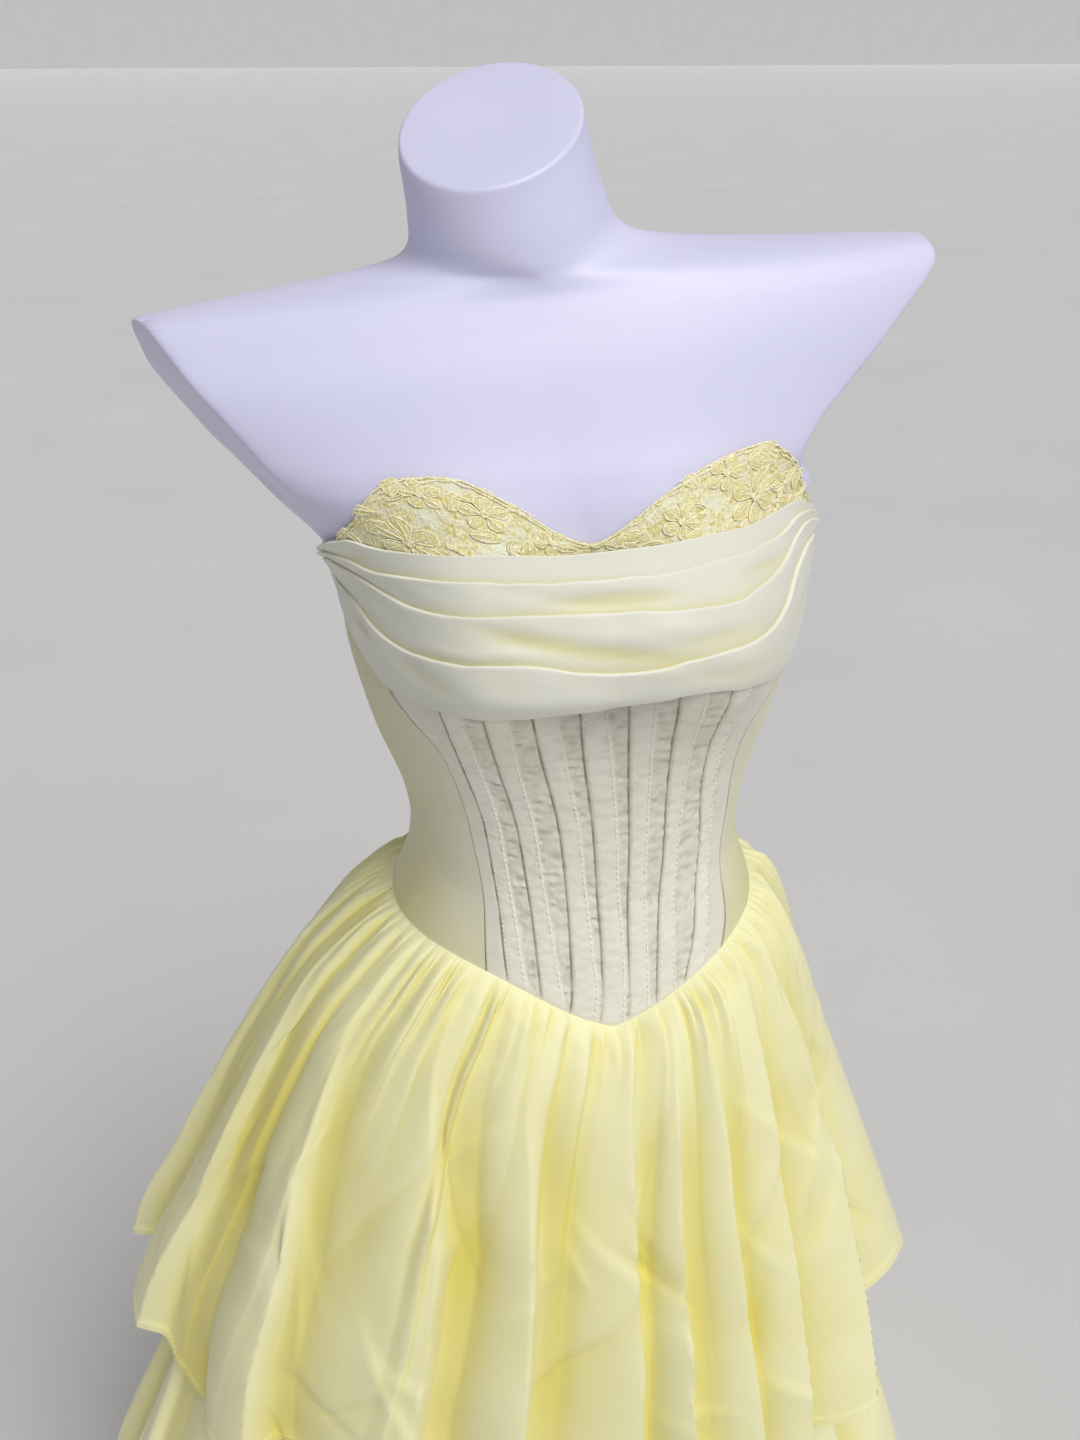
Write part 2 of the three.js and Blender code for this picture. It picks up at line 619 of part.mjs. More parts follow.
const lowerShares = [1, 0.985, 0.75, 0.5, 0.3, 0.13, 0];
const lowerTier = (name, from, to, columns) => skirtPanel(
  name, materials.chiffon, lowerTierPoint,
  panelAngles(from, to, columns, tierGap), lowerShares, cloth.hemRoll,
);
const yoke = (name, from, to, columns) => skirtPanel(
  name, materials.lining, yokePoint,
  panelAngles(from, to, columns, tierGap), [1, 0.45, 0], 0,
);

function dressForm() {
  const rings = [];
  formSteps.forEach((count, k) => {
    for (let n = 0; n < count; n += 1) rings.push(k + n / count);
  });
  rings.push(formSteps.length);
  const points = rings.flatMap((index) => Array.from({ length: formColumns }, (unused, i) =>
    bodyPoint((i * 360) / formColumns, index, bustOut.form)));
  const faces = [];
  const at = (i, j) => j * formColumns + (i % formColumns);
  for (let j = 0; j < rings.length - 1; j += 1) {
    for (let i = 0; i < formColumns; i += 1) {
      faces.push(at(i, j), at(i + 1, j), at(i + 1, j + 1));
      faces.push(at(i, j), at(i + 1, j + 1), at(i, j + 1));
    }
  }
  const last = rings.length - 1;
  for (let i = 1; i < formColumns - 1; i += 1) {
    faces.push(at(0, 0), at(i + 1, 0), at(i, 0));
    faces.push(at(0, last), at(i, last), at(i + 1, last));
  }
  return solid('dress_form', materials.form, points, faces);
}

function turned(name, profile) {
  const points = profile.map(([radius, z]) => new THREE.Vector2(radius, z));
  const mesh = new THREE.Mesh(new THREE.LatheGeometry(points, pole.sides), materials.metal);
  mesh.rotation.x = Math.PI / 2;
  mesh.name = name;
  return mesh;
}

const standBase = () => turned('stand_base', [
  [0, 0], [base.radius - base.bevel, 0], [base.radius, base.bevel],
  [base.radius, base.edge - base.bevel], [base.radius - base.bevel, base.edge],
  [base.shoulder, base.crown], [base.hubFoot, base.crown + base.bevel],
  [base.hub, base.top], [0, base.top],
]);

function standPole() {
  const foot = base.top + seamGap;
  const top = formBottom - seamGap;
  const under = top - pole.flange;
  return turned('stand_pole', [
    [0, foot], [pole.radius, foot], [pole.radius, under - pole.flare], [pole.neck, under],
    [pole.flangeRadius, under], [pole.flangeRadius, top], [0, top],
  ]);
}

const dress = new THREE.Group();
dress.add(cup(-1), cup(1), bustDrape(), bonedFront());
dress.add(sidePanel(-1), sidePanel(1), backPanel(-1), backPanel(1));
dress.add(upperTier('upper_tier_front', -90, 90, 60), upperTier('upper_tier_back', 90, 270, 45));
dress.add(yoke('yoke_front', -90, 90, 30), yoke('yoke_back', 90, 270, 20));
dress.add(lowerTier('lower_tier_front', -90, 90, 36), lowerTier('lower_tier_back', 90, 270, 36));

const stand = new THREE.Group();
stand.add(dressForm(), standPole(), standBase());

const promDress = new THREE.Group();
promDress.add(dress, stand);

export default promDress;
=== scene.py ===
import math
from functools import partial

import bpy
import numpy as np
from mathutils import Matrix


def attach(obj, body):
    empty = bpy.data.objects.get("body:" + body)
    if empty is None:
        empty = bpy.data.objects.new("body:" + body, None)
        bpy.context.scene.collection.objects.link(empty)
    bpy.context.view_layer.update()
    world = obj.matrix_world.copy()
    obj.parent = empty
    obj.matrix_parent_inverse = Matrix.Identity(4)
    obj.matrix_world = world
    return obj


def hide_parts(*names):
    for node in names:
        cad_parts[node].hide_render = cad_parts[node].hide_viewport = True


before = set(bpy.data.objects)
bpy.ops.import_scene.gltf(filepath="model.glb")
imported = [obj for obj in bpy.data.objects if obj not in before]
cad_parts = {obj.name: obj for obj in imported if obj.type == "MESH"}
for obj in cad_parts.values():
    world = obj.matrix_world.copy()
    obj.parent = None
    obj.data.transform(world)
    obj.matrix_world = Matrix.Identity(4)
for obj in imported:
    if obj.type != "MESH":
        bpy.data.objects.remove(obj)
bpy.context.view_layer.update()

# A strapless prom dress on a limbless dress form, set up for a soft studio picture.
# Tables and sizes are in millimetres and meshes in metres. Angles are degrees round the body
# from centre front, positive towards +X.
MM = 0.001

# How the pieces lie over each other, outwards from the form
EASE = 1.2
BODICE_LIFT = EASE + 2.0
DRAPE_INNER = BODICE_LIFT + 0.8
DRAPE_LIFT = DRAPE_INNER + 1.2
YOKE_LIFT = EASE + 1.5
TIER_LIFT = EASE + 3.6
SKIRT_WALL = 1.1
SEAM_GAP = 0.3
SEAM_TOUCH = 0.04
WAIST_LAP = 0.9
SIDE_SEAM = 98
BUST_SEAM = 1203
YOKE_HEM = 822
YOKE_TUCK = 2.5
LOWER_HEM = 18

SIDES = (("left", -1), ("right", 1))
HALVES = {"front": (-90, 90), "back": (90, 270)}

FORM_BOTTOM = 800
NECK_TOP = 1458
NECK_CORNER = 1.8
ARM_CUT_FOOT = 1262
SHOULDER_FOOT = 1250  # the form's rows lie closer above this height
BUST = {"apart": 64, "height": 1205, "width": 46, "above": 62, "below": 44, "front": 3}
BUST_OUT_FORM = 29
BUST_OUT_DRESS = 34
CUT_SOFTNESS = 2.0
CUP_RADIUS = 118
CORSET_RADIUS = 110

TABLE_STEPS = 64  # a table is read at this many places between two rows


def table(names, rows):
    """The columns of a table, each read along a smooth curve through its rows."""
    count = len(rows)
    index = np.linspace(0, count - 1, (count - 1) * TABLE_STEPS + 1)
    k = np.minimum(index.astype(int), count - 2)
    t = index - k
    columns = {}
    for place, name in enumerate(names):
        value = np.array([row[place] for row in rows], float)
        at = [value[np.clip(k + step, 0, count - 1)] for step in (-1, 0, 1, 2)]
        before, start, end, after = at
        bend = 2 * before - 5 * start + 4 * end - after
        twist = 3 * start - before - 3 * end + after
        columns[name] = start + 0.5 * t * (end - before + t * (bend + t * twist))
    return columns


def look_up(rows, by, wanted, name):
    return np.interp(wanted, rows[by], rows[name])


# The form's level sections: roundness is the power of the oval, lean and roll tilt a section
FORM_SECTIONS = table(
    ("z", "middle", "half", "front", "back", "round", "lean", "roll"),
    [
        (FORM_BOTTOM, 0, 156, 102, 112, 2.2, 0, 0),
        (850, 4, 152, 99, 110, 2.2, 0, 0),
        (900, 8, 145, 95, 103, 2.2, 0, 0),
        (950, 13, 133, 90, 94, 2.2, 0, 0),
        (1000, 17, 117, 84, 85, 2.2, 0, 0),
        (1045, 18, 103, 80, 79, 2.2, 0, 0),
        (1090, 18, 106, 82, 80, 2.2, 0, 0),
        (1140, 16, 120, 88, 85, 2.2, 0, 0),
        (1190, 15, 130, 92, 90, 2.2, 0, 0),
        (1240, 14, 134, 92, 92, 2.2, 0, 0.01),
        (1280, 3, 151, 88, 88, 2.2, 0, 0.03),
        (1300, -2, 178, 83, 85, 2.15, 0, 0.04),
        (1318, -6, 200, 76, 80, 2.1, 0, 0.05),
        (1350, -9, 234, 64, 72, 1.9, 0, 0.07),
        (1372, -4, 240, 54, 62, 1.7, 0, 0.078),
        (1385, -4, 224, 48, 56, 1.5, 0, 0.076),
        (1391, -8, 160, 47, 54, 1.4, 0, 0.076),
        (1395, -12, 86, 47, 53, 1.5, 0.03, 0.08),
        (1404, -17, 57, 48, 51, 1.8, 0.12, 0.1),
        (1424, -22, 49.5, 48, 49, 2, 0.32, 0.16),
        (1450, -27.5, 46.5, 47, 48, 2, 0.5, 0.22),
        (NECK_TOP, -28.5, 45.5, 47, 48, 2, 0.5, 0.22),
    ],
)
# The cut faces where arms would start: how far each lies from the middle, and how much nearer
# it comes for each millimetre towards the front
ARM_CUTS = table(
    ("z", "left", "right"),
    [
        (ARM_CUT_FOOT, 160, 152), (1290, 160, 143), (1310, 167, 155), (1345, 183, 195),
        (1372, 201, 214), (1385, 206, 210), (1392, 202, 202), (1400, 187, 189),
    ],
)
ARM_SLANT = {"left": 0.41, "right": 0.27}
# The height of the top edge round the body
NECKLINE = table(
    ("angle", "z"),
    [
        (-180, 1232), (-150, 1236), (-120, 1243), (-90, 1250), (-74, 1257), (-62, 1267),
        (-53, 1276), (-42, 1288), (-34, 1298), (-28, 1306), (-22, 1309), (-15, 1306),
        (-9, 1291), (-4, 1278), (0, 1272), (3, 1274), (7, 1280), (14, 1292), (22, 1303),
        (31, 1308), (35, 1306), (40, 1300), (50, 1287), (60, 1272), (74, 1257), (90, 1250),
        (120, 1243), (150, 1236), (180, 1232),
    ],
)
# The corset's side seams: each lies this far from a middle that turns a little with height
FRONT_SEAMS = table(
    ("z", "half", "turn"),
    [
        (940, 32, 5), (974, 35, 6), (1004, 40, 7), (1071, 46, 5), (1125, 43, 1.5),
        (1150, 45, 1), (1170, 52, 0), (1190, 59, 0), (1262, 72, 0), (1320, 72, 0),
    ],
)
# The middle of each boning channel
CHANNELS = ("a", "b", "c", "d", "e", "f", "g")
BONING = table(
    ("z", *CHANNELS),
    [
        (945, -15, -7.5, -2.2, 5, 12, 20, 27),
        (970, -18.5, -9.5, -1.6, 5, 11.6, 20, 29.5),
        (1010, -24.5, -14, -3.7, 4, 11.3, 20.8, 35),
        (1060, -31.2, -19.4, -6.6, 2.4, 11.5, 23.3, 39.2),
        (1122, -32.8, -21.8, -9.3, 0.3, 9.6, 20.8, 33),
        (1190, -37, -25.5, -14, -2.5, 7.8, 18.1, 30),
    ],
)
CHANNEL_HALF = 5.2
CHANNEL_FLANK = 0.8
CHANNEL_HEIGHT = 0.75
WAIST_POINT = {"angle": 5, "side": 1003, "dip": 56, "left": 28, "right": 40, "power": 1.3}

# The drape's lower edge, its three folds and its top edge round the body
DRAPE_EDGES = ("hem", "third", "second", "first", "top")
DRAPE_HALF = 97
DRAPE_LINES = table(
    ("angle", "top", "first", "second", "third", "hem"),
    [
        (-97, 1247, 1245, 1241, 1235, 1221),
        (-85, 1251, 1249, 1245, 1237, 1218),
        (-70, 1264, 1261, 1256, 1234, 1203),
        (-58, 1272, 1263, 1253, 1221, 1189),
        (-49, 1276, 1259, 1246, 1217, 1188),
        (-40, 1273, 1259, 1242, 1218, 1189),
        (-20, 1271, 1258, 1243, 1220, 1193),
        (0, 1269, 1256, 1241, 1214, 1196),
        (20, 1271, 1258.5, 1240, 1219, 1200.5),
        (32, 1272, 1260, 1243, 1221, 1196),
        (42, 1274, 1262, 1248, 1226, 1190),
        (50, 1275, 1267, 1257, 1240, 1188),
        (58, 1270, 1266, 1261, 1248, 1192),
        (70, 1260, 1258, 1255, 1247, 1202),
        (85, 1249, 1247, 1243, 1236, 1216),
        (97, 1247, 1245, 1242, 1237, 1219),
    ],
)
DRAPE_BRIDGE = 0.85  # the share of the hollow between the cups that the drape spans
PLEAT_STAND = 2.2
# One band of the drape upwards: the share of its height, how far it stands off and how far it
# laps past the fold below, up to the roll of its own fold
BAND_ROWS = (
    (0, 0.02, 0.9), (0.05, 0.08, 0.8), (0.12, 0.17, 0.5), (0.22, 0.28, 0.2), (0.33, 0.38, 0),
    (0.44, 0.48, 0), (0.55, 0.58, 0), (0.66, 0.69, 0), (0.76, 0.79, 0), (0.85, 0.88, 0),
    (0.92, 0.96, 0), (0.97, 1.01, 0), (1, 1.01, 0.1), (1, 0.93, 0.45), (1, 0.7, 0.75),
    (1, 0.36, 0.85),
)

# How far the upper tier stands out from the waist, and swings sideways, as it drops
UPPER_PROFILE = table(
    ("drop", "side", "front", "back", "sway"),
    [
        (0, 0, 0, 0, 0), (10, 13, 10, 11, -2), (28, 31, 24, 28, -6), (62, 55, 39, 48, -14),
        (148, 99, 64, 86, -27), (233, 136, 84, 118, -32), (313, 173, 98, 146, -38),
        (413, 208, 110, 174, -40), (470, 226, 116, 188, -42),
    ],
)
UPPER_HEM = table(
    ("angle", "z"),
    [
        (-180, 600), (-140, 606), (-108, 638), (-92, 646), (-80, 640), (-66, 612), (-50, 604),
        (-33, 620), (-10, 610), (12, 598), (33, 586), (45, 586), (54, 606), (62, 640),
        (72, 640), (81, 620), (95, 608), (130, 602), (180, 600),
    ],
)
# Each fold's crest and the valley after it, at the waist, half way and at the hem, and its depth
UPPER_FOLDS = (
    (-103, -100, -101, -95, -90, -93, 22),
    (-84, -80, -84, -67, -64, -58, 34),
    (-59, -50, -45, -51, -42, -37, 26),
    (-36, -22, -20, -22, -13, -14, 30),
    (-13, -6, -7, -1, 1, 0, 22),
    (7, 10, 9, 15, 14, 13, 24),
    (18, 17, 15, 21, 22, 21, 14),
    (27, 26, 26, 34, 32, 30, 18),
    (42, 39, 34, 48, 43, 38, 26),
    (54, 56, 45, 63, 66, 58, 42),
    (72, 82, 79, 92, 96, 98, 26),
    (108, 110, 112, 118, 120, 122, 24),
    (130, 131, 133, 140, 141, 143, 26),
    (150, 152, 154, 160, 161, 163, 24),
    (171, 172, 174, 181, 182, 183, 26),
    (191, 192, 193, 202, 203, 204, 24),
    (214, 214, 214, 224, 224, 225, 26),
    (236, 236, 236, 246, 247, 248, 22),
)
UPPER_TURN = 0.07  # the right side hangs a little further forward
MIDDLE_SHARE = 0.45
UPPER_GROWTH = 0.75
LOWER_GROWTH = 0.8
GATHER = {"count": 44, "height": 6.4, "rise": 9, "least": 0.08, "lean": 0.66}
FINE_GATHER = {"count": 100, "height": 3.2, "rise": 3, "runs": (12, 24, 42)}
LOWER_GATHER = {"count": 52, "height": 3.2, "lean": 0.42}
YOKE_RELEASE = 1.6
OVAL_POWER = 0.95
YOKE_PROFILE = table(
    ("z", "half", "front", "back", "middle"),
    [
        (YOKE_HEM, 184, 121, 140, 2), (860, 168, 112, 128, 5), (900, 152, 102, 112, 9),
        (1003, 118, 86, 87, 17),
    ],
)
# The lower tier's level ovals
LOWER_PROFILE = table(
    ("z", "half", "front", "back", "middle"),
    [
        (LOWER_HEM, 440, 345, 405, -30), (100, 426, 326, 390, -30), (200, 404, 300, 367, -30),
        (360, 363, 252, 325, -30), (500, 312, 188, 262, -24), (560, 290, 160, 236, -20),
        (600, 276, 148, 222, -18), (700, 238, 139, 188, -10), (780, 203, 128, 158, -2),
        (YOKE_HEM, 184, 121, 140, 2),
    ],
)
# Each fold's crest, the valley after it and its depth
LOWER_FOLDS = (
    (-172, -160, 26), (-148, -137, 30), (-126, -116, 26), (-104, -95, 30), (-84, -72, 24),
    (-60, -49, 32), (-38, -28, 28), (-17, -7, 26), (4, 15, 32), (26, 36, 26), (47, 58, 30),
    (70, 80, 26), (90, 101, 30), (112, 123, 26), (134, 145, 30), (156, 170, 28),
)


def signed_power(value, power):
    return np.sign(value) * np.abs(value) ** power


def smooth_step(low, high, value):
    share = np.clip((value - low) / (high - low), 0, 1)
    return share * share * (3 - 2 * share)


def blend(a, b, share):
    return a + (b - a) * share


def noise(x, y, seed):
    """Smooth unevenness from -1 to 1, with about one bump to each unit of x and of y."""
    size = 97
    knots = np.random.default_rng(seed).uniform(-1, 1, (size, size))
    i, j = np.floor(x).astype(int), np.floor(y).astype(int)
    u, v = x - i, y - j
    u, v = u * u * (3 - 2 * u), v * v * (3 - 2 * v)
    at = lambda a, b: knots[a % size, b % size]
    low = blend(at(i, j), at(i + 1, j), u)
    high = blend(at(i, j + 1), at(i + 1, j + 1), u)
    return blend(low, high, v)


def bust_lift(x, z, out, bridge):
    """Height of the two bust lobes; the bridge fills the hollow between them."""
    aside = np.abs(x) - BUST["apart"]
    across = np.exp(-((aside / BUST["width"]) ** 2))
    across = np.where(aside < 0, 1 - (1 - across) * (1 - bridge), across)
    reach = np.where(z > BUST["height"], BUST["above"], BUST["below"])
    return out * across * np.exp(-(((z - BUST["height"]) / reach) ** 2))


def cut_off(x, limit):
    """x held under a limit, with a soft corner where it meets it."""
    return limit - CUT_SOFTNESS * np.logaddexp(0, (limit - x) / CUT_SOFTNESS)


def body_point(angle, height, out=BUST_OUT_DRESS, bridge=0.0, soft_cut=False):
    """A place on the body: out is how far the bust swells, bridge how flat it is between."""
    angle, height = np.broadcast_arrays(np.asarray(angle, float), np.asarray(height, float))
    section = {name: look_up(FORM_SECTIONS, "z", height, name) for name in FORM_SECTIONS}
    sine, cosine = np.sin(np.radians(angle)), np.cos(np.radians(angle))
    x = section["half"] * signed_power(sine, 2 / section["round"])
    depth = np.where(cosine > 0, section["front"], section["back"])
    depth = depth * signed_power(cosine, 2 / section["round"])
    left = look_up(ARM_CUTS, "z", height, "left") - ARM_SLANT["left"] * depth
    right = look_up(ARM_CUTS, "z", height, "right") - ARM_SLANT["right"] * depth
    if soft_cut:
        cut = np.where(x < 0, -cut_off(-x, left), cut_off(x, right))
        fade = smooth_step(ARM_CUT_FOOT, 1285, height) * smooth_step(0.25, 0.5, np.abs(sine))
        x = blend(x, cut, fade)
    else:
        x = np.where(height > ARM_CUT_FOOT, np.clip(x, -left, right), x)
    facing = np.clip(BUST["front"] * cosine, 0, 1)
    chest = bust_lift(x, section["z"], out, bridge) * facing
    y = -depth - chest
    z = height + section["lean"] * y + section["roll"] * x
    return np.stack([x + section["middle"], y, z], axis=-1)


drape_surface = partial(body_point, bridge=DRAPE_BRIDGE)


def unit(vectors):
    return vectors / np.linalg.norm(vectors, axis=-1, keepdims=True)


def outward(surface, angle, height):
    """The direction straight out of a surface."""
    across = surface(angle + 0.6, height) - surface(angle - 0.6, height)
    up = surface(angle, height + 2) - surface(angle, height - 2)
    return unit(np.cross(across, up))


def raised(surface, angle, height, distance):
    out = outward(surface, angle, height)
    return surface(angle, height) + out * np.expand_dims(distance, -1)


def wrapped(angle):
    return (np.asarray(angle, float) + 540) % 360 - 180


def waist_height(angle):
    aside = wrapped(angle - WAIST_POINT["angle"])
    reach = np.where(aside < 0, WAIST_POINT["left"], WAIST_POINT["right"])
    spread = (np.abs(aside) / reach) ** WAIST_POINT["power"]
    return WAIST_POINT["side"] - WAIST_POINT["dip"] * np.exp(-spread)


def neckline_height(angle):
    return look_up(NECKLINE, "angle", wrapped(angle), "z")


def front_seam(side, height):
    half = look_up(FRONT_SEAMS, "z", height, "half")
    return side * half + look_up(FRONT_SEAMS, "z", height, "turn")


def straight_seam(angle, height):
    return np.full_like(height, angle)


def bodice_height(angle, place):
    """Height at a place up the bodice: 0 the waist, 1 the seam under the bust, 2 the top."""
    low = blend(waist_height(angle), BUST_SEAM - SEAM_TOUCH, place)
    high = blend(BUST_SEAM + SEAM_TOUCH, neckline_height(angle), place - 1)
    return np.where(place <= 1, low, high)


# Millimetres to a degree, half way down each piece
DRAPE_DEGREE = 2.2
UPPER_DEGREE = 3.8
LOWER_DEGREE = 5.5


def away_from(line, angle, height, per_degree):
    """Millimetres from a place to a line between two places, and the share along the line."""
    start_angle, start_height, end_angle, end_height = line
    across = (end_angle - start_angle) * per_degree
    rise = end_height - start_height
    x = (angle - start_angle) * per_degree
    y = height - start_height
    share = np.clip((x * across + y * rise) / (across**2 + rise**2), 0, 1)
    return np.hypot(x - share * across, y - share * rise), share


def creases(rows, angle, height, per_degree):
    """The sum of soft ridges and troughs: each row is a line, its width and its height."""
    total = np.zeros_like(angle)
    for *line, width, rise in rows:
        away, share = away_from(line, angle, height, per_degree)
        total += rise * np.sin(np.pi * np.clip(share, 0.04, 0.96)) * np.exp(-((away / width) ** 2))
    return total


def broken(rows, angle, height, per_degree):
    """The sum of crisp creases: each drops at once on one side and slopes off on the other."""
    total = np.zeros_like(angle)
    for *line, width, rise in rows:
        away, share = away_from(line, angle, height, per_degree)
        start_angle, start_height, end_angle, end_height = line
        x, y = (angle - start_angle) * per_degree, height - start_height
        side = x * (end_height - start_height) - y * (end_angle - start_angle) * per_degree
        spread = np.where(side > 0, width * 0.24, width * 1.9)
        total += rise * np.sin(np.pi * np.clip(share, 0.02, 0.98)) * np.exp(-away / spread)
    return total


def sharp_creases(count, seed, spans, lengths, width, rise):
    """Scattered broken creases as rows for broken(): most of them run down the cloth."""
    draw = np.random.default_rng(seed)
    rows = []
    for _ in range(count):
        angle, height = draw.uniform(*spans[0]), draw.uniform(*spans[1])
        length = draw.uniform(*lengths)
        slant = draw.uniform(0.85, 1.4) * draw.choice((-1, 1))
        reach = length * math.cos(slant) / UPPER_DEGREE
        line = (angle, height, angle + reach, height + length * math.sin(slant))
        sign = draw.choice((-1, 1))
        rows.append((*line, width * draw.uniform(0.7, 1.4), sign * rise * draw.uniform(0.5, 1)))
    return rows


def linear(colour):
    """A colour written as an sRGB hex value, turned linear."""
    parts = [((colour >> shift) & 255) / 255 for shift in (16, 8, 0)]
    return (*(p / 12.92 if p <= 0.04045 else ((p + 0.055) / 1.055) ** 2.4 for p in parts), 1)


def add_node(material, kind, values=(), links=(), **settings):
    made = material.node_tree.nodes.new(kind)
    for name, value in settings.items():
        setattr(made, name, value)
    for name, value in dict(values).items():
        made.inputs[name].default_value = value
    for name, source in dict(links).items():
        material.node_tree.links.new(source, made.inputs[name])
    return made


def new_material(name):
    material = bpy.data.materials.new(name)
    material.use_nodes = True
    material.node_tree.nodes.clear()
    return material


def mark(material, name):
    """A number that a piece carries at each of its points."""
    return add_node(material, "ShaderNodeAttribute", attribute_name=name).outputs["Fac"]


def mixed(material, share, first, second):
    """A colour between two; each is a hex value or another node's colour."""
    node = add_node(material, "ShaderNodeMix", {}, {"Factor": share}, data_type="RGBA")
    for socket, colour in zip((node.inputs[6], node.inputs[7]), (first, second)):
        if isinstance(colour, int):
            socket.default_value = linear(colour)
        else:
            material.node_tree.links.new(colour, socket)
    return node.outputs[2]


def uneven(material, place, size_mm, detail=3.0):
    """Soft cloudy noise of a real size, from 0 to 1."""
    cloud = add_node(
        material, "ShaderNodeTexNoise", {"Scale": 1 / (size_mm * MM), "Detail": detail},
        {"Vector": place},
    )
    spread = add_node(
        material, "ShaderNodeMapRange", {"From Min": 0.3, "From Max": 0.7},
        {"Value": cloud.outputs["Fac"]},
    )
    return spread.outputs["Result"]


def band_scale(spacing_mm):
    """The scale at which a wave texture's bands lie this far apart."""
    return 1 / (spacing_mm * MM) / 3.18


def weave_height(material, spacing_mm):
    """Warp and weft threads, drawn on the piece's own cloth map."""
    cloth_map = add_node(material, "ShaderNodeUVMap", uv_map="cloth").outputs["UV"]
    threads = []
    for direction in ("X", "Y"):
        wave = add_node(
            material, "ShaderNodeTexWave",
            {"Scale": band_scale(spacing_mm), "Distortion": 1.2, "Detail Scale": 2.0},
            {"Vector": cloth_map}, bands_direction=direction,
        )
        threads.append(wave.outputs["Fac"])
    return add_node(
        material, "ShaderNodeMath", {}, {0: threads[0], 1: threads[1]}, operation="ADD"
    ).outputs[0]


def bumped(material, height, depth_mm, strength, under=None):
    """A bump of a real depth, over another one where under is given."""
    links = {"Height": height}
    if under is not None:
        links["Normal"] = under
    bump = add_node(
        material, "ShaderNodeBump", {"Distance": depth_mm * MM, "Strength": strength}, links
    )
    return bump.outputs["Normal"]


def surface(material, colour, values, normal=None, through=None):
    """Ends a material: its main shader, and for thin cloth the light that comes through."""
    links = {"Base Color": colour}
    if normal is not None:
        links["Normal"] = normal
    last = add_node(material, "ShaderNodeBsdfPrincipled", values, links).outputs[0]
    if through is not None:
        share, glow = through
        lit = add_node(material, "ShaderNodeBsdfTranslucent", {"Color": linear(glow)})
        both = add_node(
            material, "ShaderNodeMixShader", {"Fac": share}, {1: last, 2: lit.outputs[0]}
        )
        last = both.outputs[0]
    add_node(material, "ShaderNodeOutputMaterial", {}, {"Surface": last})
    return material


def object_place(material):
    return add_node(material, "ShaderNodeTexCoord").outputs["Object"]


def form_material():
    """Moulded fibreglass with a matte spray coat: pale lavender white, a faint orange peel."""
    made = new_material("form_matte_coat")
    place = object_place(made)
    colour = mixed(made, uneven(made, place, 90), 0xD9D8F6, 0xD5D5F3)
    normal = bumped(made, uneven(made, place, 1.6), 0.05, 0.25)
    return surface(made, colour, {"Roughness": 0.46, "Coat Weight": 0.12, "Coat Roughness": 0.4}, normal)


def steel_material():
    """Brushed steel of the pole and base: fine lathe lines round it, worn a little smoother."""
    made = new_material("stand_brushed_steel")
    place = object_place(made)
    lines = add_node(
        made, "ShaderNodeTexWave", {"Scale": 160.0, "Distortion": 0.4}, {"Vector": place},
        wave_type="RINGS", rings_direction="Z",
    )
    normal = bumped(made, lines.outputs["Fac"], 0.03, 0.3)
    colour = mixed(made, uneven(made, place, 60), 0xC9CCD2, 0xB9BDC4)
    return surface(made, colour, {"Metallic": 1.0, "Roughness": 0.34}, normal)


def chiffon_material():
    """Polyester chiffon over its own lining: pale lemon; the deeper yellow where folds gather light is
    painted in, as shade in the valleys and hollows.
    """
    made = new_material("chiffon_lemon")
    place = object_place(made)
    flat = mixed(made, uneven(made, place, 70), 0xF9F8CE, 0xF7F5C3)
    # Painted shade: the depth mark turns the fold valleys, gather hollows and crease troughs a deeper
    # yellow
    deep = mixed(made, mark(made, "depth"), flat, 0xE9DE74)
    # Real threads lie 0.3 mm apart, too fine to show, so they are drawn at 1.2 mm
    normal = bumped(made, weave_height(made, 1.2), 0.05, 0.35)
    crumple = bumped(made, uneven(made, place, 9), 0.5, 0.12, normal)
    values = {"Roughness": 0.62, "Sheen Weight": 0.25, "Sheen Roughness": 0.45}
    return surface(made, deep, values, crumple, (0.14, 0xFFF6A8))


def satin_material():
    """Dull polyester satin, cut on the bias: ivory with a green cast. Painted shade makes it warm where
    folds meet and at the sides, a painted reflection of the skirt warms it near the skirt, and a painted
    highlight pales the drape's folded edges.
    """
    made = new_material("satin_ivory")
    place = object_place(made)
    flat = mixed(made, uneven(made, place, 45), 0xE4E4DA, 0xE0E0D3)
    # Painted shade and painted reflection: the depth mark warms the colour in hollows, at the sides and
    # near the skirt
    deep = mixed(made, mark(made, "depth"), flat, 0xD2CC85)
    # Painted highlight: the edge mark pales the colour along each folded edge
    edge = mixed(made, mark(made, "edge"), deep, 0xE7E7DB)
    # Satin floats of 0.25 mm, drawn at 1 mm so that they show
    normal = bumped(made, weave_height(made, 1.0), 0.04, 0.3)
    values = {"Roughness": 0.5, "Sheen Weight": 0.2, "Sheen Roughness": 0.4}
    return surface(made, edge, values, normal)


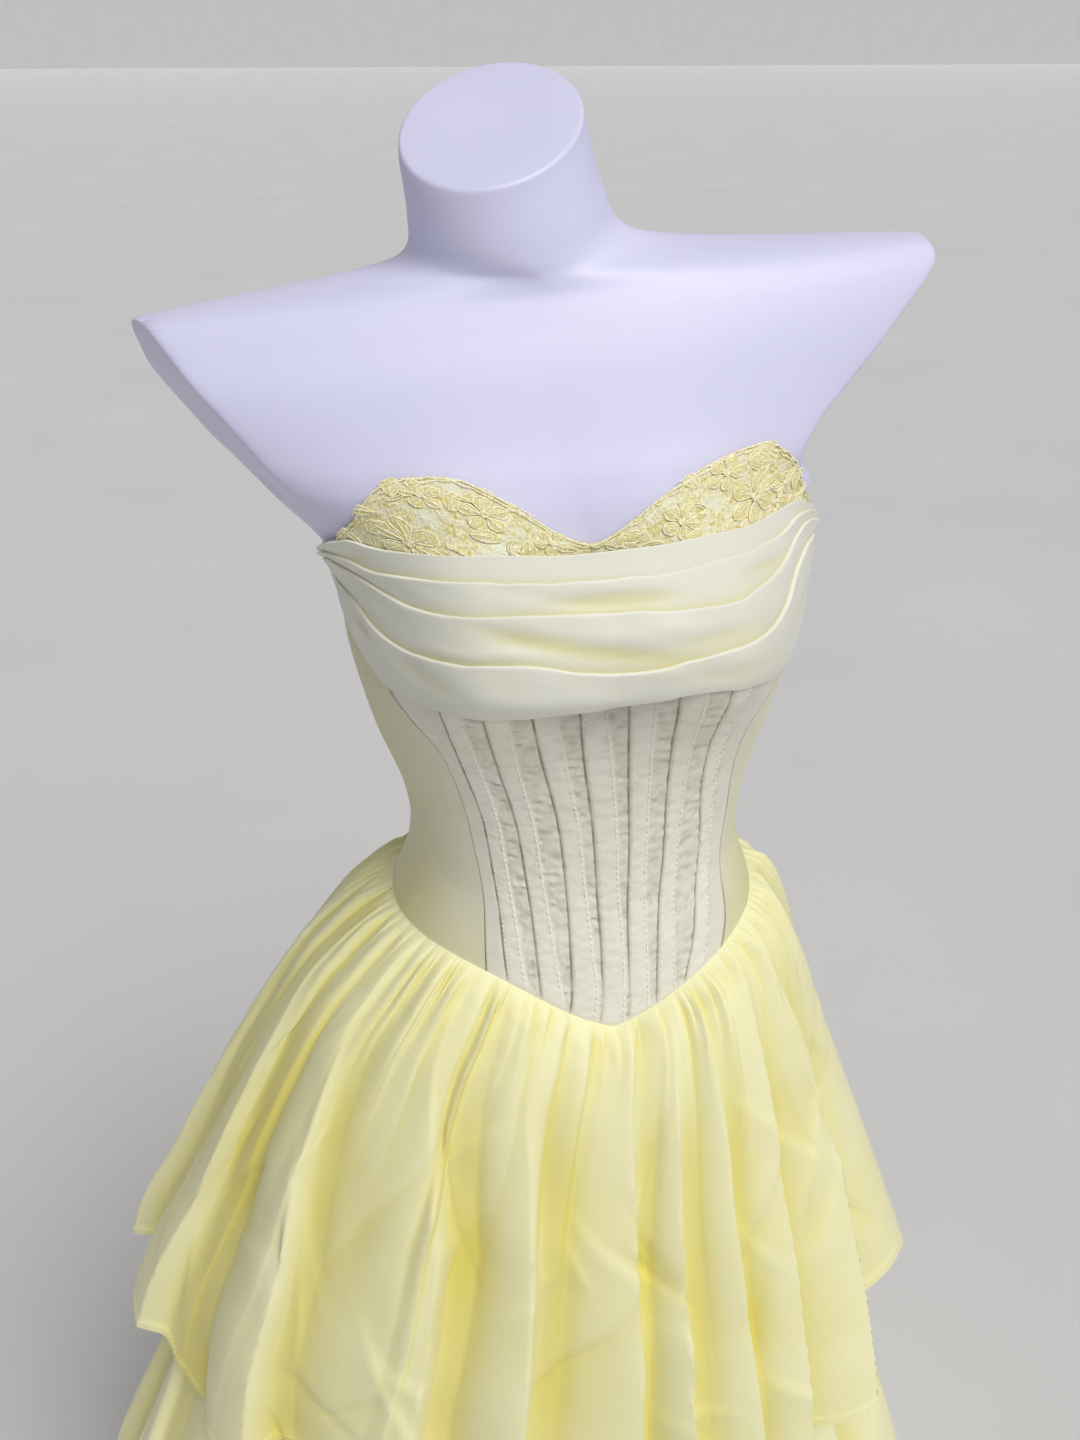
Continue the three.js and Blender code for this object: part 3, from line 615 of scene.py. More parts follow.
def boned_material():
    """The same satin over boning: greyer, with a painted highlight that lightens the channels and
    painted shadow that darkens the stitched grooves and the pucker hollows; it is also darker along the
    outer seams.
    """
    made = new_material("satin_boned")
    place = object_place(made)
    flat = mixed(made, uneven(made, place, 18), 0xE7E5D9, 0xDEDCCE)
    # Painted highlight: the edge mark pales the crown of each channel
    channel = mixed(made, mark(made, "edge"), flat, 0xEDEBE0)
    # Painted shadow: the depth mark darkens the grooves and pucker hollows, and the outer seams
    colour = mixed(made, mark(made, "depth"), channel, 0x8B8672)
    normal = bumped(made, weave_height(made, 1.1), 0.05, 0.4)
    pucker = bumped(made, uneven(made, place, 5), 0.5, 0.25, normal)
    values = {"Roughness": 0.52, "Sheen Weight": 0.2, "Sheen Roughness": 0.4}
    return surface(made, colour, values, pucker)


def lace_ground_material():
    """Satin under lace net: pale between the flowers, speckled gold thread close to them."""
    made = new_material("lace_ground")
    place = object_place(made)
    satin = mixed(made, uneven(made, place, 30), 0xEBECD9, 0xE6E8D2)
    speck = uneven(made, place, 1.5, 1.0)
    thread = mixed(made, speck, 0xC9B962, 0xF5F0CC)
    colour = mixed(made, mark(made, "lace"), satin, thread)
    normal = bumped(made, speck, 0.5, 0.5)
    return surface(made, colour, {"Roughness": 0.6, "Sheen Weight": 0.15}, normal)


def lace_petal_material():
    """Machine embroidery in gold rayon: close stitches along each petal with a silky shine, partly
    painted as near-white flecks along the stitches.
    """
    made = new_material("lace_petals")
    cloth_map = add_node(made, "ShaderNodeUVMap", uv_map="cloth").outputs["UV"]
    stitches = add_node(
        made, "ShaderNodeTexWave",
        {"Scale": band_scale(1.5), "Distortion": 9.0, "Detail": 2.0, "Detail Scale": 1.6},
        {"Vector": cloth_map}, bands_direction="Y",
    ).outputs["Fac"]
    speck = uneven(made, object_place(made), 1.7, 2.0)
    grain = add_node(made, "ShaderNodeMath", {}, {0: stitches, 1: speck}, operation="MULTIPLY")
    # The stitch bands are the thread's own pattern; their near-white flecks are a painted highlight
    colour = mixed(made, grain.outputs[0], 0xE0D488, 0xFFFDF0)
    normal = bumped(made, grain.outputs[0], 0.9, 0.6)
    return surface(made, colour, {"Roughness": 0.42, "Sheen Weight": 0.2}, normal)


def twist_material(name, dark, light, spacing_mm):
    """Corded or sewing thread, whose twisted plies show as fine light and dark flecks."""
    made = new_material(name)
    twist = uneven(made, object_place(made), spacing_mm, 1.0)
    colour = mixed(made, twist, dark, light)
    normal = bumped(made, twist, 0.3, 0.5)
    return surface(made, colour, {"Roughness": 0.45, "Sheen Weight": 0.15}, normal)


def lining_material():
    """Plain woven lining of the hip yoke: a dull pale yellow."""
    made = new_material("lining_plain")
    colour = mixed(made, uneven(made, object_place(made), 40), 0xE8E4B6, 0xDFDAA6)
    normal = bumped(made, weave_height(made, 1.2), 0.06, 0.4)
    return surface(made, colour, {"Roughness": 0.7, "Sheen Weight": 0.1}, normal)


def floor_material():
    """A pale studio floor: matte paper with the faintest mottling."""
    made = new_material("floor_paper")
    colour = mixed(made, uneven(made, object_place(made), 700), 0xCDCDCF, 0xC9C9CC)
    return surface(made, colour, {"Roughness": 0.9})


MATERIALS = {
    "form": form_material(),
    "steel": steel_material(),
    "chiffon": chiffon_material(),
    "satin": satin_material(),
    "boned": boned_material(),
    "ground": lace_ground_material(),
    "petal": lace_petal_material(),
    "cord": twist_material("lace_cord", 0xE6DA90, 0xFEFCEC, 1.3),
    "thread": twist_material("sewing_thread", 0xE9E6D6, 0xFFFDF4, 1.2),
    "hem_thread": twist_material("hem_thread", 0xDDD694, 0xF4F1C4, 1.2),
    "lining": lining_material(),
}


def finished(piece, nodes=(), smooth_to=50):
    """Smooths a piece, hangs it on the body and hides the model's parts that it stands for."""
    bpy.ops.object.select_all(action="DESELECT")
    piece.select_set(True)
    bpy.context.view_layer.objects.active = piece
    bpy.ops.object.shade_smooth_by_angle(angle=math.radians(smooth_to))
    piece.select_set(False)
    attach(piece, "root")
    if nodes:
        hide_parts(*nodes)
    return piece


def mesh_piece(name, points, faces, material, cloth_map=None, marks=()):
    """A new piece from its points, in millimetres, and its faces."""
    mesh = bpy.data.meshes.new(name)
    mesh.from_pydata((points * MM).tolist(), [], [tuple(face) for face in faces])
    mesh.materials.append(material)
    if cloth_map is not None:
        corners = np.zeros(len(mesh.loops), int)
        mesh.loops.foreach_get("vertex_index", corners)
        layer = mesh.uv_layers.new(name="cloth")
        layer.data.foreach_set("uv", (cloth_map[corners] * MM).ravel())
    for mark_name, values in dict(marks).items():
        attribute = mesh.attributes.new(mark_name, "FLOAT", "POINT")
        attribute.data.foreach_set("value", values.astype(np.float32))
    piece = bpy.data.objects.new(name, mesh)
    bpy.context.scene.collection.objects.link(piece)
    return piece


def lengths_along(points, axis):
    steps = np.linalg.norm(np.diff(points, axis=axis), axis=-1)
    start = np.zeros_like(np.take(steps, [0], axis=axis))
    return np.cumsum(np.concatenate([start, steps], axis=axis), axis=axis)


def grid_faces(rows, columns, first=0, inward=False):
    j, i = np.mgrid[0 : rows - 1, 0 : columns - 1]
    low = (first + j * columns + i).ravel()
    faces = np.stack([low, low + 1, low + columns + 1, low + columns], axis=1)
    return faces[:, ::-1] if inward else faces


def cloth_piece(name, material, outer, inner, marks):
    """A closed cloth wall between two grids, whose rows go up and whose columns go round."""
    rows, columns = outer.shape[:2]
    count = rows * columns
    j, i = np.mgrid[0:rows, 0:columns]
    index = j * columns + i
    loop = np.concatenate([index[0, :-1], index[:-1, -1], index[-1, :0:-1], index[:0:-1, 0]])
    after = np.roll(loop, -1)
    rim = np.stack([after, loop, loop + count, after + count], axis=1)
    faces = np.concatenate([
        grid_faces(rows, columns), grid_faces(rows, columns, count, True), rim,
    ])
    points = np.concatenate([outer.reshape(-1, 3), inner.reshape(-1, 3)])
    flat = np.stack([lengths_along(outer, 1), lengths_along(outer, 0)], axis=-1).reshape(-1, 2)
    doubled = {key: np.tile(value.ravel(), 2) for key, value in marks.items()}
    return mesh_piece(name, points, faces, material, np.tile(flat, (2, 1)), doubled)


def grid_outward(points):
    """The way out at each point of a grid, from its neighbours."""
    return unit(np.cross(np.gradient(points, axis=1), np.gradient(points, axis=0)))


def joined_piece(name, parts, material):
    """One piece from many small shapes, each given as its points, faces and cloth map."""
    points, faces, maps = zip(*parts)
    starts = np.cumsum([0] + [len(some) for some in points[:-1]])
    faces = np.concatenate([some + start for some, start in zip(faces, starts)])
    made = mesh_piece(
        name, np.concatenate(points), faces, MATERIALS[material], np.concatenate(maps)
    )
    return finished(made)


def round_faces(rings, sides, closed=False):
    """Faces between rings of points; closed joins the last ring to the first."""
    j, i = np.mgrid[0 : rings - (not closed), 0:sides]
    following = (j + 1) % rings
    beside = (i + 1) % sides
    return np.stack([
        j * sides + i, j * sides + beside, following * sides + beside, following * sides + i,
    ], axis=-1).reshape(-1, 4)


def tube(path, out, radius, closed=False, sides=6):
    """A round cord along a path that lies on cloth; out is the way out of the cloth."""
    around = np.roll(path, -1, axis=0) - np.roll(path, 1, axis=0)
    along = unit(around if closed else np.gradient(path, axis=0))
    side = unit(np.cross(along, out))
    top = np.cross(side, along)
    turn = np.linspace(0, 2 * np.pi, sides, endpoint=False)
    reach = np.broadcast_to(np.asarray(radius, float), (len(path),))[:, None, None]
    ring = np.cos(turn)[None, :, None] * side[:, None] + np.sin(turn)[None, :, None] * top[:, None]
    points = (path[:, None] + reach * ring).reshape(-1, 3)
    faces = round_faces(len(path), sides, closed)
    if not closed:
        # An open cord has six sides, and two faces close each of its ends
        last = (len(path) - 1) * sides
        ends = [[0, 3, 2, 1], [0, 5, 4, 3], [last, last + 1, last + 2, last + 3],
                [last, last + 3, last + 4, last + 5]]
        faces = np.concatenate([faces, np.array(ends)])
    travelled = np.repeat(lengths_along(path[:, None], 0)[:, 0], sides)
    return points, faces, np.stack([travelled, np.tile(turn, len(path))], axis=-1)


def set_camera():
    """The photograph's own view: close in front of the bodice, looking down at it."""
    camera = bpy.data.cameras.new("camera")
    camera.sensor_fit = "VERTICAL"
    camera.sensor_height = 36
    camera.lens = 31.25
    made = bpy.data.objects.new("camera", camera)
    made.location = (-0.1165, -0.6731, 1.4991)
    made.rotation_euler = (math.radians(90 - 29), 0, math.radians(-9.5))
    bpy.context.scene.collection.objects.link(made)
    bpy.context.scene.camera = made


def add_sun(name, towards, spread, strength, colour):
    """A far, soft light; towards is the way from the dress to it, spread its size in degrees."""
    data = bpy.data.lights.new(name, "SUN")
    data.angle = math.radians(spread)
    data.energy = strength
    data.color = linear(colour)[:3]
    made = bpy.data.objects.new(name, data)
    x, y, z = towards
    made.rotation_euler = (math.atan2(math.hypot(x, y), z), 0, math.atan2(x, -y))
    bpy.context.scene.collection.objects.link(made)


STAGE_SIZE = 120


def set_stage():
    """A pale floor with a far wall behind it, pale air and one soft light."""
    paper = floor_material()
    for name, far, tilt in (("studio_floor", 0, 0), ("studio_wall", STAGE_SIZE / 2, 90)):
        bpy.ops.mesh.primitive_plane_add(
            size=STAGE_SIZE, location=(0, far, 0), rotation=(math.radians(tilt), 0, 0)
        )
        plane = bpy.context.active_object
        plane.name = name
        plane.data.materials.append(paper)
    world = bpy.data.worlds.new("studio_air")
    world.use_nodes = True
    air = world.node_tree.nodes["Background"].inputs
    air["Color"].default_value = linear(0xE6E6EA)
    air["Strength"].default_value = 0.21
    bpy.context.scene.world = world
    add_sun("key", (0.24, -0.54, 0.81), 40, 2.8, 0xFFFDF8)
    bpy.context.scene.view_settings.view_transform = "Standard"


def make_form():
    """The limbless form: level sections up to the slanting neck cut, one smooth skin."""
    columns = 440
    angles = np.arange(columns) * 360 / columns
    heights = np.concatenate([
        np.linspace(FORM_BOTTOM, SHOULDER_FOOT, 56), np.linspace(SHOULDER_FOOT, NECK_TOP, 130)[1:],
    ])
    angle, height = np.meshgrid(angles, heights)
    side = body_point(angle, height, BUST_OUT_FORM, soft_cut=True)
    # The moulded neck flows into the shoulders, so the rows there are evened out
    loose = 0.5 * smooth_step(1384, 1391, height) * smooth_step(1424, 1408, height)
    for _ in range(14):
        around = np.roll(side, 1, axis=1) + np.roll(side, -1, axis=1)
        around[1:-1] += side[2:] + side[:-2]
        around[1:-1] /= 4
        side = side + (around - side) * loose[..., None]
    rim = side[-1]
    centre = rim.mean(axis=0)
    fall = unit(rim - side[-6])
    inside = unit(centre - rim)
    keep = np.linalg.norm((side - rim[None]), axis=-1) > NECK_CORNER
    below = rim - fall * NECK_CORNER
    rolled = [
        below + NECK_CORNER * (fall * math.sin(turn) + inside * (1 - math.cos(turn)))
        for turn in np.radians(np.linspace(0, 90, 5))
    ]
    flat = [blend(rolled[-1], centre, share) for share in (0.3, 0.65, 0.9)]
    rings = np.concatenate([side[keep.all(axis=1)], np.stack(rolled), np.stack(flat)])
    points = rings.reshape(-1, 3)
    faces = round_faces(len(rings), columns).tolist()
    last = (len(rings) - 1) * columns
    faces.append(list(range(last, last + columns)))
    faces.append(list(range(columns - 1, -1, -1)))
    piece = mesh_piece("form_shell", points, faces, MATERIALS["form"])
    return finished(piece, ["dress_form"], 60)


def turned_piece(name, node, sides, steps):
    """A round metal piece: a cylinder whose top is inset and raised step by step.

    Each step is a radius and its height; the cylinder runs between the first two."""
    radius, foot = steps[0]
    bpy.ops.object.select_all(action="DESELECT")
    bpy.ops.mesh.primitive_cylinder_add(
        vertices=sides, radius=radius * MM, depth=(steps[1][1] - foot) * MM,
        location=(0, 0, (steps[1][1] + foot) / 2 * MM),
    )
    piece = bpy.context.active_object
    piece.name = name
    bpy.ops.object.transform_apply(location=True, rotation=True, scale=True)
    bpy.ops.object.mode_set(mode="EDIT")
    bpy.ops.mesh.select_mode(type="FACE")
    bpy.ops.mesh.select_all(action="DESELECT")
    bpy.ops.object.mode_set(mode="OBJECT")
    for face in piece.data.polygons:
        face.select = face.normal.z > 0.9
    bpy.ops.object.mode_set(mode="EDIT")
    for (before, was), (after, now) in zip(steps[1:], steps[2:]):
        bpy.ops.mesh.extrude_region_move(
            TRANSFORM_OT_translate={"value": (0, 0, (now - was) * MM)}
        )
        share = after / before
        bpy.ops.transform.resize(value=(share, share, 1))
    bpy.ops.object.mode_set(mode="OBJECT")
    bevel = piece.modifiers.new("edges", "BEVEL")
    bevel.width = 0.9 * MM
    bevel.segments = 3
    bevel.limit_method = "ANGLE"
    bevel.angle_limit = math.radians(25)
    bpy.ops.object.modifier_apply(modifier="edges")
    piece.data.materials.append(MATERIALS["steel"])
    return finished(piece, [node], 35)


def make_stand():
    """The round base with its socket, and the pole with the plate that carries the form."""
    base = [(160, 0), (160, 9), (42, 14), (26, 16), (22, 44)]
    pole = [(13, 44.3), (13, 779.7), (20, 791.7), (48, 791.8), (48, 799.7)]
    turned_piece("base_plate", "stand_base", 96, base)
    turned_piece("pole_tube", "stand_pole", 64, pole)


def bodice_panel(name, material, node, seams, across, up, relief, marks):
    """A bodice panel between two seams, each of which gives its angle at a height."""
    share, place = np.meshgrid(across, up)
    height = np.where(place > 1, 1250.0, 1050.0)
    left, right = seams
    # The height follows the angle and a slanting seam's angle the height, so they settle in turns
    for _ in range(4):
        angle = blend(left(height) + 0.02, right(height) - 0.02, share)
        height = bodice_height(angle, place)
    outer = raised(body_point, angle, height, BODICE_LIFT + relief(angle, height, place))
    inner = raised(body_point, angle, height, np.full(angle.shape, EASE))
    kept = {key: make(angle, height, place) for key, make in marks.items()}
    piece = cloth_piece(name, MATERIALS[material], outer, inner, kept)
    finished(piece, [node])


def none(angle, height, place):
    return np.zeros_like(angle)


def painted_shade_and_reflection(angle, height, place):
    """Painted shade and reflected skirt light on the satin, as a yellow tint: most at the sides and near
    the skirt, which glows on it.
    """
    near_skirt = smooth_step(60, 0, height - waist_height(angle))
    return 0.2 + 0.4 * smooth_step(36, 76, np.abs(angle)) + 0.22 * near_skirt


CUP_UP = np.concatenate([
    np.linspace(1.0001, 1.55, 12), np.linspace(1.55, 2, 64)[1:],
])


def make_cups():
    """The cups: satin under lace, with the net's gold specks thicker round each motif."""
    def relief(angle, height, place):
        edge = smooth_step(0.02, 0.0, 2 - place)
        return 0.3 * noise(angle / 1.3, height / 3, 5) - 0.5 * edge
    for word, side in SIDES:
        seams = sorted((0, side))
        bodice_panel(
            "lace_cup_" + word, "ground", "cup_" + word,
            [partial(front_seam, s) if s else np.zeros_like for s in seams],
            np.linspace(0, 1, 130), CUP_UP, relief, {"lace": lace_cover},
        )


# Lace motifs: where each lies round the body and below the top edge, its size and turn
FLOWERS = (
    (-33, 22, 15, 6, 15), (-52, 17, 10, 5, 20), (-15, 16, 9, 5, 0), (-44, 33, 7, 5, 40),
    (-23, 8, 7.5, 5, 10), (-6, 9, 6.5, 5, 30), (5, 8, 6, 5, 10), (34, 23, 14, 6, 35),
    (17, 18, 9, 5, 60), (50, 17, 10, 5, 50), (25, 8, 8, 5, 0), (43, 9, 7.5, 6, 15),
    (57, 11, 6.5, 5, 5), (-59, 10, 6.5, 5, 5),
)
LEAVES = (
    (-41, 7, 14, 20), (-34, 5, 13, 160), (-28, 6, 11, 60), (-46, 10, 12, 120),
    (-48, 24, 12, 200), (-38, 38, 13, 250), (-26, 37, 14, 300), (-20, 27, 12, 340),
    (-20, 17, 10, 60), (-10, 17, 11, 250), (-11, 6, 9, 30), (-56, 24, 11, 240),
    (-62, 15, 10, 120), (-2, 5, 9, 150), (2, 12, 8, 290), (10, 9, 11, 200),
    (12, 20, 11, 280), (21, 27, 12, 220), (24, 34, 13, 300), (20, 8, 10, 130),
    (29, 7, 13, 30), (36, 6, 14, 170), (41, 20, 12, 340), (44, 32, 13, 250),
    (36, 38, 12, 210), (48, 8, 11, 100), (56, 20, 11, 300), (61, 13, 10, 60),
    (-66, 9, 8, 100), (-52, 6, 9, 70), (52, 7, 9, 40), (28, 30, 9, 250),
)
SCROLLS = (
    (-50, 9, 30, 190, 0.9), (-40, 14, 26, 20, -1.1), (-30, 4, 24, -10, 0.8),
    (-18, 8, 26, -50, 0.9), (-12, 22, 20, 200, 1.2), (-26, 31, 26, -20, -0.9),
    (-44, 28, 24, 200, 1.0), (-60, 19, 20, 220, -0.9), (8, 14, 24, 40, -0.9),
    (16, 9, 26, 30, 0.9), (30, 4, 24, -10, -0.7), (40, 14, 22, 160, 0.9),
    (46, 22, 24, -30, -1.0), (26, 32, 26, 200, 0.9), (38, 30, 22, -15, 1.0),
    (56, 8, 22, -60, 0.8), (-4, 12, 18, 190, -1.0), (22, 20, 18, 130, 1.1),
)


def lace_cover(angle, height, place):
    """How near a place on the cups is to a lace motif, from 0 to 1."""
    cover = np.zeros_like(angle)
    for at, below, size, *_ in FLOWERS + tuple((a, b, s * 0.62) for a, b, s, _ in LEAVES):
        across = np.radians(angle - at) * CUP_RADIUS
        away = np.hypot(across, neckline_height(at) - below - height)
        cover = np.maximum(cover, smooth_step(1.55, 0.95, away / size))
    ragged = smooth_step(-0.5, 0.4, noise(angle * 0.9, height / 2.2, 12))
    edge = smooth_step(4.5, 1.5, neckline_height(angle) - height)
    return np.clip(np.maximum(cover * (0.45 + 0.55 * ragged), edge * ragged), 0, 1)


def on_cups(motif, across, up, out):
    """Points of a motif drawn flat, in millimetres from its middle, laid on the cups."""
    angle = motif[0] + np.degrees(across / CUP_RADIUS)
    height = neckline_height(motif[0]) - motif[1] + up
    height = np.minimum(height, neckline_height(angle) + 0.9)
    hidden = look_up(DRAPE_LINES, "angle", angle, "top")
    out = blend(0.1, out, smooth_step(hidden - 1, hidden + 1.5, height))
    height = np.maximum(height, hidden - 4)
    place = raised(body_point, angle, height, BODICE_LIFT + out)
    return place, outward(body_point, angle, height)


def turned_flat(x, y, degrees):
    cosine, sine = math.cos(math.radians(degrees)), math.sin(math.radians(degrees))
    return x * cosine - y * sine, x * sine + y * cosine


def petal_parts(motif, turn, root, length, half, blunt, bend):
    """A domed petal or leaf, its corded outline and its midrib."""
    share, side = np.meshgrid(np.linspace(0.02, 0.98, 9), np.linspace(-1, 1, 7))
    def flat(s, t):
        x = root + length * s
        width = half * np.sin(np.pi * s**blunt) ** 0.75
        y = t * width + bend * length * s * (1 - s)
        return turned_flat(x, y, turn)
    across, up = flat(share, side)
    dome = 0.25 + 0.55 * (1 - side**2) + 0.12 * np.sin(share * 22) * (1 - side**2)
    points, _ = on_cups(motif, across, up, dome)
    cloth_map = np.stack([share * length, side * half], axis=-1).reshape(-1, 2)
    # Rows run along the width here, so the faces are turned to look out
    patch = (points.reshape(-1, 3), grid_faces(7, 9), cloth_map)
    loop = np.concatenate([np.linspace(0.02, 0.98, 13), np.linspace(0.98, 0.02, 13)[1:-1]])
    edge_side = np.concatenate([np.ones(13), -np.ones(11)])
    edge, out = on_cups(motif, *flat(loop, edge_side), 0.42)
    outline = tube(edge, out, 0.44, closed=True, sides=5)
    rib_share = np.linspace(0.05, 0.8, 7)
    rib, out = on_cups(motif, *flat(rib_share, np.zeros(7)), 0.85)
    midrib = tube(rib, out, np.linspace(0.38, 0.2, 7))
    return patch, [outline, midrib]


def flower_parts(motif):
    """A flower's petals, their cords and the knot in its middle."""
    _, _, radius, petals, turn = motif
    patches, cords = [], []
    for k in range(petals):
        patch, lines = petal_parts(
            motif, turn + 360 * k / petals, 0.14 * radius, 0.84 * radius,
            radius * 1.55 / petals, 1.35, 0.08,
        )
        patches.append(patch)
        cords += lines
    swirl = np.linspace(0, 5 * np.pi, 26)
    reach = np.linspace(0.2, 0.13 * radius + 0.5, 26)
    knot, out = on_cups(motif, reach * np.cos(swirl), reach * np.sin(swirl), 1.0)
    return patches, cords + [tube(knot, out, 0.42)]


def leaf_parts(motif):
    _, _, length, turn = motif
    patch, cords = petal_parts(motif, turn, 0.5, length, length * 0.24, 1.0, 0.16)
    return [patch], cords


def scroll_parts(motif):
    """Two cords side by side that curl inwards and taper."""
    _, _, length, turn, curl = motif
    along = np.linspace(0, 1, 26)
    heading = np.radians(turn) + curl * (along * 2.2 + 2.6 * along**3)
    step = length / 25 * (1 - 0.55 * along)
    across, up = np.cumsum(step * np.cos(heading)), np.cumsum(step * np.sin(heading))
    cords = []
    for shift in (-0.55, 0.55):
        aside = shift * (1 - 0.6 * along)
        line, out = on_cups(
            motif, across - aside * np.sin(heading), up + aside * np.cos(heading), 0.5
        )
        cords.append(tube(line, out, 0.46 * (1 - 0.4 * along)))
    return [], cords


def edge_cords(side):
    """The two cords along a cup's top edge."""
    cords = []
    for drop, wobble, seed in ((0.7, 0.5, 3), (2.3, 0.8, 4)):
        angle = np.linspace(side * 0.1, side * 71.5, 210)
        height = neckline_height(angle) - drop + wobble * noise(angle / 1.1, angle * 0, seed)
        line = raised(body_point, angle, height, np.full(angle.shape, BODICE_LIFT + 0.35))
        cords.append(tube(line, outward(body_point, angle, height), 0.5))
    return cords


def make_lace():
    """Corded flowers, leaves and scrolls over both cups, and the cords along the top edge."""
    kinds = ((FLOWERS, flower_parts), (LEAVES, leaf_parts), (SCROLLS, scroll_parts))
    made = {}
    for word, side in SIDES:
        patches, cords = [], []
        for motifs, parts_of in kinds:
            for motif in motifs:
                if motif[0] * side > 0:
                    more_patches, more_cords = parts_of(motif)
                    patches += more_patches
                    cords += more_cords
        cords += edge_cords(side)
        made[word] = [
            joined_piece("lace_petals_" + word, patches, "petal"),
            joined_piece("lace_cords_" + word, cords, "cord"),
        ]
    return made


def corset_columns():
    """Across one channel: its seam groove on the left, its padded body, its right edge."""
    foot = CHANNEL_HALF + CHANNEL_FLANK
    inside = np.linspace(-CHANNEL_HALF + 0.4, CHANNEL_HALF - 0.4, 8)
    groove = [-foot - 1.3, -foot - 0.75, -foot - 0.45, -foot - 0.1, -foot + 0.3]
    return np.concatenate([groove, inside, [CHANNEL_HALF + 0.2, foot + 0.1, foot + 0.8]])


# The place that columns left of the first channel carry; those in the later gaps count on from it
GAP = 50


def corset_grid(height):
    """Every column's angle and its place across its channel, at each row's height."""
    offsets = corset_columns()
    angles, places = [front_seam(-1, height) + 0.02], [np.full(height.shape, GAP)]
    spans = [
        [look_up(BONING, "z", height, name) + np.degrees(off / CORSET_RADIUS) for off in offsets]
        for name in CHANNELS
    ]
    spans.append([front_seam(1, height) - 0.02])
    for k, span in enumerate(spans):
        start = angles[-1]
        for share in np.linspace(0.125, 1, 8):
            angles.append(blend(start, span[0], share))
            places.append(np.full(height.shape, GAP + k))
        for off, line in zip(offsets[1:], span[1:]):
            angles.append(line)
            places.append(np.full(height.shape, off))
    return np.stack(angles, axis=1), np.stack(places, axis=1)


def make_corset():
    """The boned front: seven stitched channels, puckered satin between them."""
    place = np.concatenate([[0, 0.004], np.linspace(0.012, 0.988, 116), [0.996, 1]])[:, None]
    level = np.full(len(place), 1100.0)
    # Heights and slanting channels settle in turns, first row by row
    for _ in range(4):
        angle, offset = corset_grid(level)
        height = bodice_height(angle, place)
        level = height.mean(axis=1)
    # Then each column is read at its own heights
    angle = np.stack([corset_grid(own)[0][:, k] for k, own in enumerate(height.T)], axis=1)
    height = bodice_height(angle, place)
    foot = CHANNEL_HALF + CHANNEL_FLANK
    from_middle = np.abs(offset)
    crown = smooth_step(foot, CHANNEL_HALF - 0.4, from_middle)
    crown *= 1 - 0.25 * (np.minimum(from_middle, CHANNEL_HALF) / CHANNEL_HALF) ** 2
    hem = look_up(DRAPE_LINES, "angle", angle, "hem")
    ends = smooth_step(0, 0.02, place) * smooth_step(hem + 1, hem - 1.5, height)
    # The seam groove left of each channel: it is sunk into the cloth and also darkened as painted shadow
    groove = np.exp(-(((offset + foot + 0.5) / 0.5) ** 2))
    groove *= 0.78 + 0.3 * noise(angle / 3, height / 9, 23)
    # The satin puckers between the channels and lies plain outside the outer two
    pucker = noise(angle * 0.3, height / 2.6, 21) + 0.7 * noise(angle * 0.7, height / 1.7, 22)
    plain = (offset == GAP) | (offset == GAP + len(CHANNELS))
    reach = np.where(from_middle < foot, 0.3, np.where(plain, 0.08, 0.8))
    fine = noise(angle * 0.22, height / 1.25, 24) * np.where(plain, 0.05, 0.22)
    ripple = pucker * reach + fine
    rise = (CHANNEL_HEIGHT * crown - 0.9 * groove + ripple * (1 - groove)) * ends
    outer = raised(body_point, angle, height, BODICE_LIFT + rise)
    inner = raised(body_point, angle, height, np.full(angle.shape, EASE))
    beside = np.minimum(angle - angle[:, :1], angle[:, -1:] - angle)
    seam_line = 0.75 * np.exp(-((np.radians(beside) * CORSET_RADIUS / 0.55) ** 2))
    # Painted shade in the pucker hollows
    shade = np.clip(-pucker, 0, 1) * reach * 0.4
    # depth: painted shadow in the grooves and puckers, and darker along the outer seams; edge: painted
    # highlight on the channel crowns
    marks = {"depth": np.clip(groove * ends + seam_line + shade, 0, 1), "edge": crown * ends}
    piece = cloth_piece("corset_boned", MATERIALS["boned"], outer, inner, marks)
    finished(piece, ["corset_front"])


def stitches_along(line, out, start, length, gap, lifts, radii):
    """Single stitches along a line on cloth, each with its points' lifts and radii."""
    travelled = lengths_along(line[:, None], 0)[:, 0]
    parts = []
    while start + length < travelled[-1]:
        at = np.linspace(start, start + length, len(lifts))
        path = np.stack([np.interp(at, travelled, line[:, k]) for k in range(3)], axis=1)
        way = np.stack([np.interp(at, travelled, out[:, k]) for k in range(3)], axis=1)
        parts.append(tube(path + way * np.array(lifts)[:, None], way, np.array(radii)))
        start += length + gap
    return parts


def make_corset_stitches():
    """The bright stitched cord on each channel's right edge and fine stitches on its left."""
    heights = np.linspace(950, 1199, 420)
    gap = 1.0
    lift = BODICE_LIFT + CHANNEL_HEIGHT - 0.2
    parts = []
    for name in CHANNELS:
        for off, length, radius in ((-CHANNEL_HALF + 0.9, 2.2, 0.3), (CHANNEL_HALF - 0.9, 3.4, 0.62)):
            angles = look_up(BONING, "z", heights, name) + np.degrees(off / CORSET_RADIUS)
            low = waist_height(angles) + 3
            high = look_up(DRAPE_LINES, "angle", angles, "hem") - 1
            kept = (heights > low) & (heights < high)
            place = angles[kept], heights[kept]
            line = raised(body_point, *place, np.full(kept.sum(), lift))
            radii = radius * np.array([0.6, 1, 1, 0.6])
            parts += stitches_along(
                line, outward(body_point, *place), gap, length, gap, [-0.25, 0.1, 0.1, -0.25], radii
            )
    return joined_piece("corset_stitches", parts, "thread")


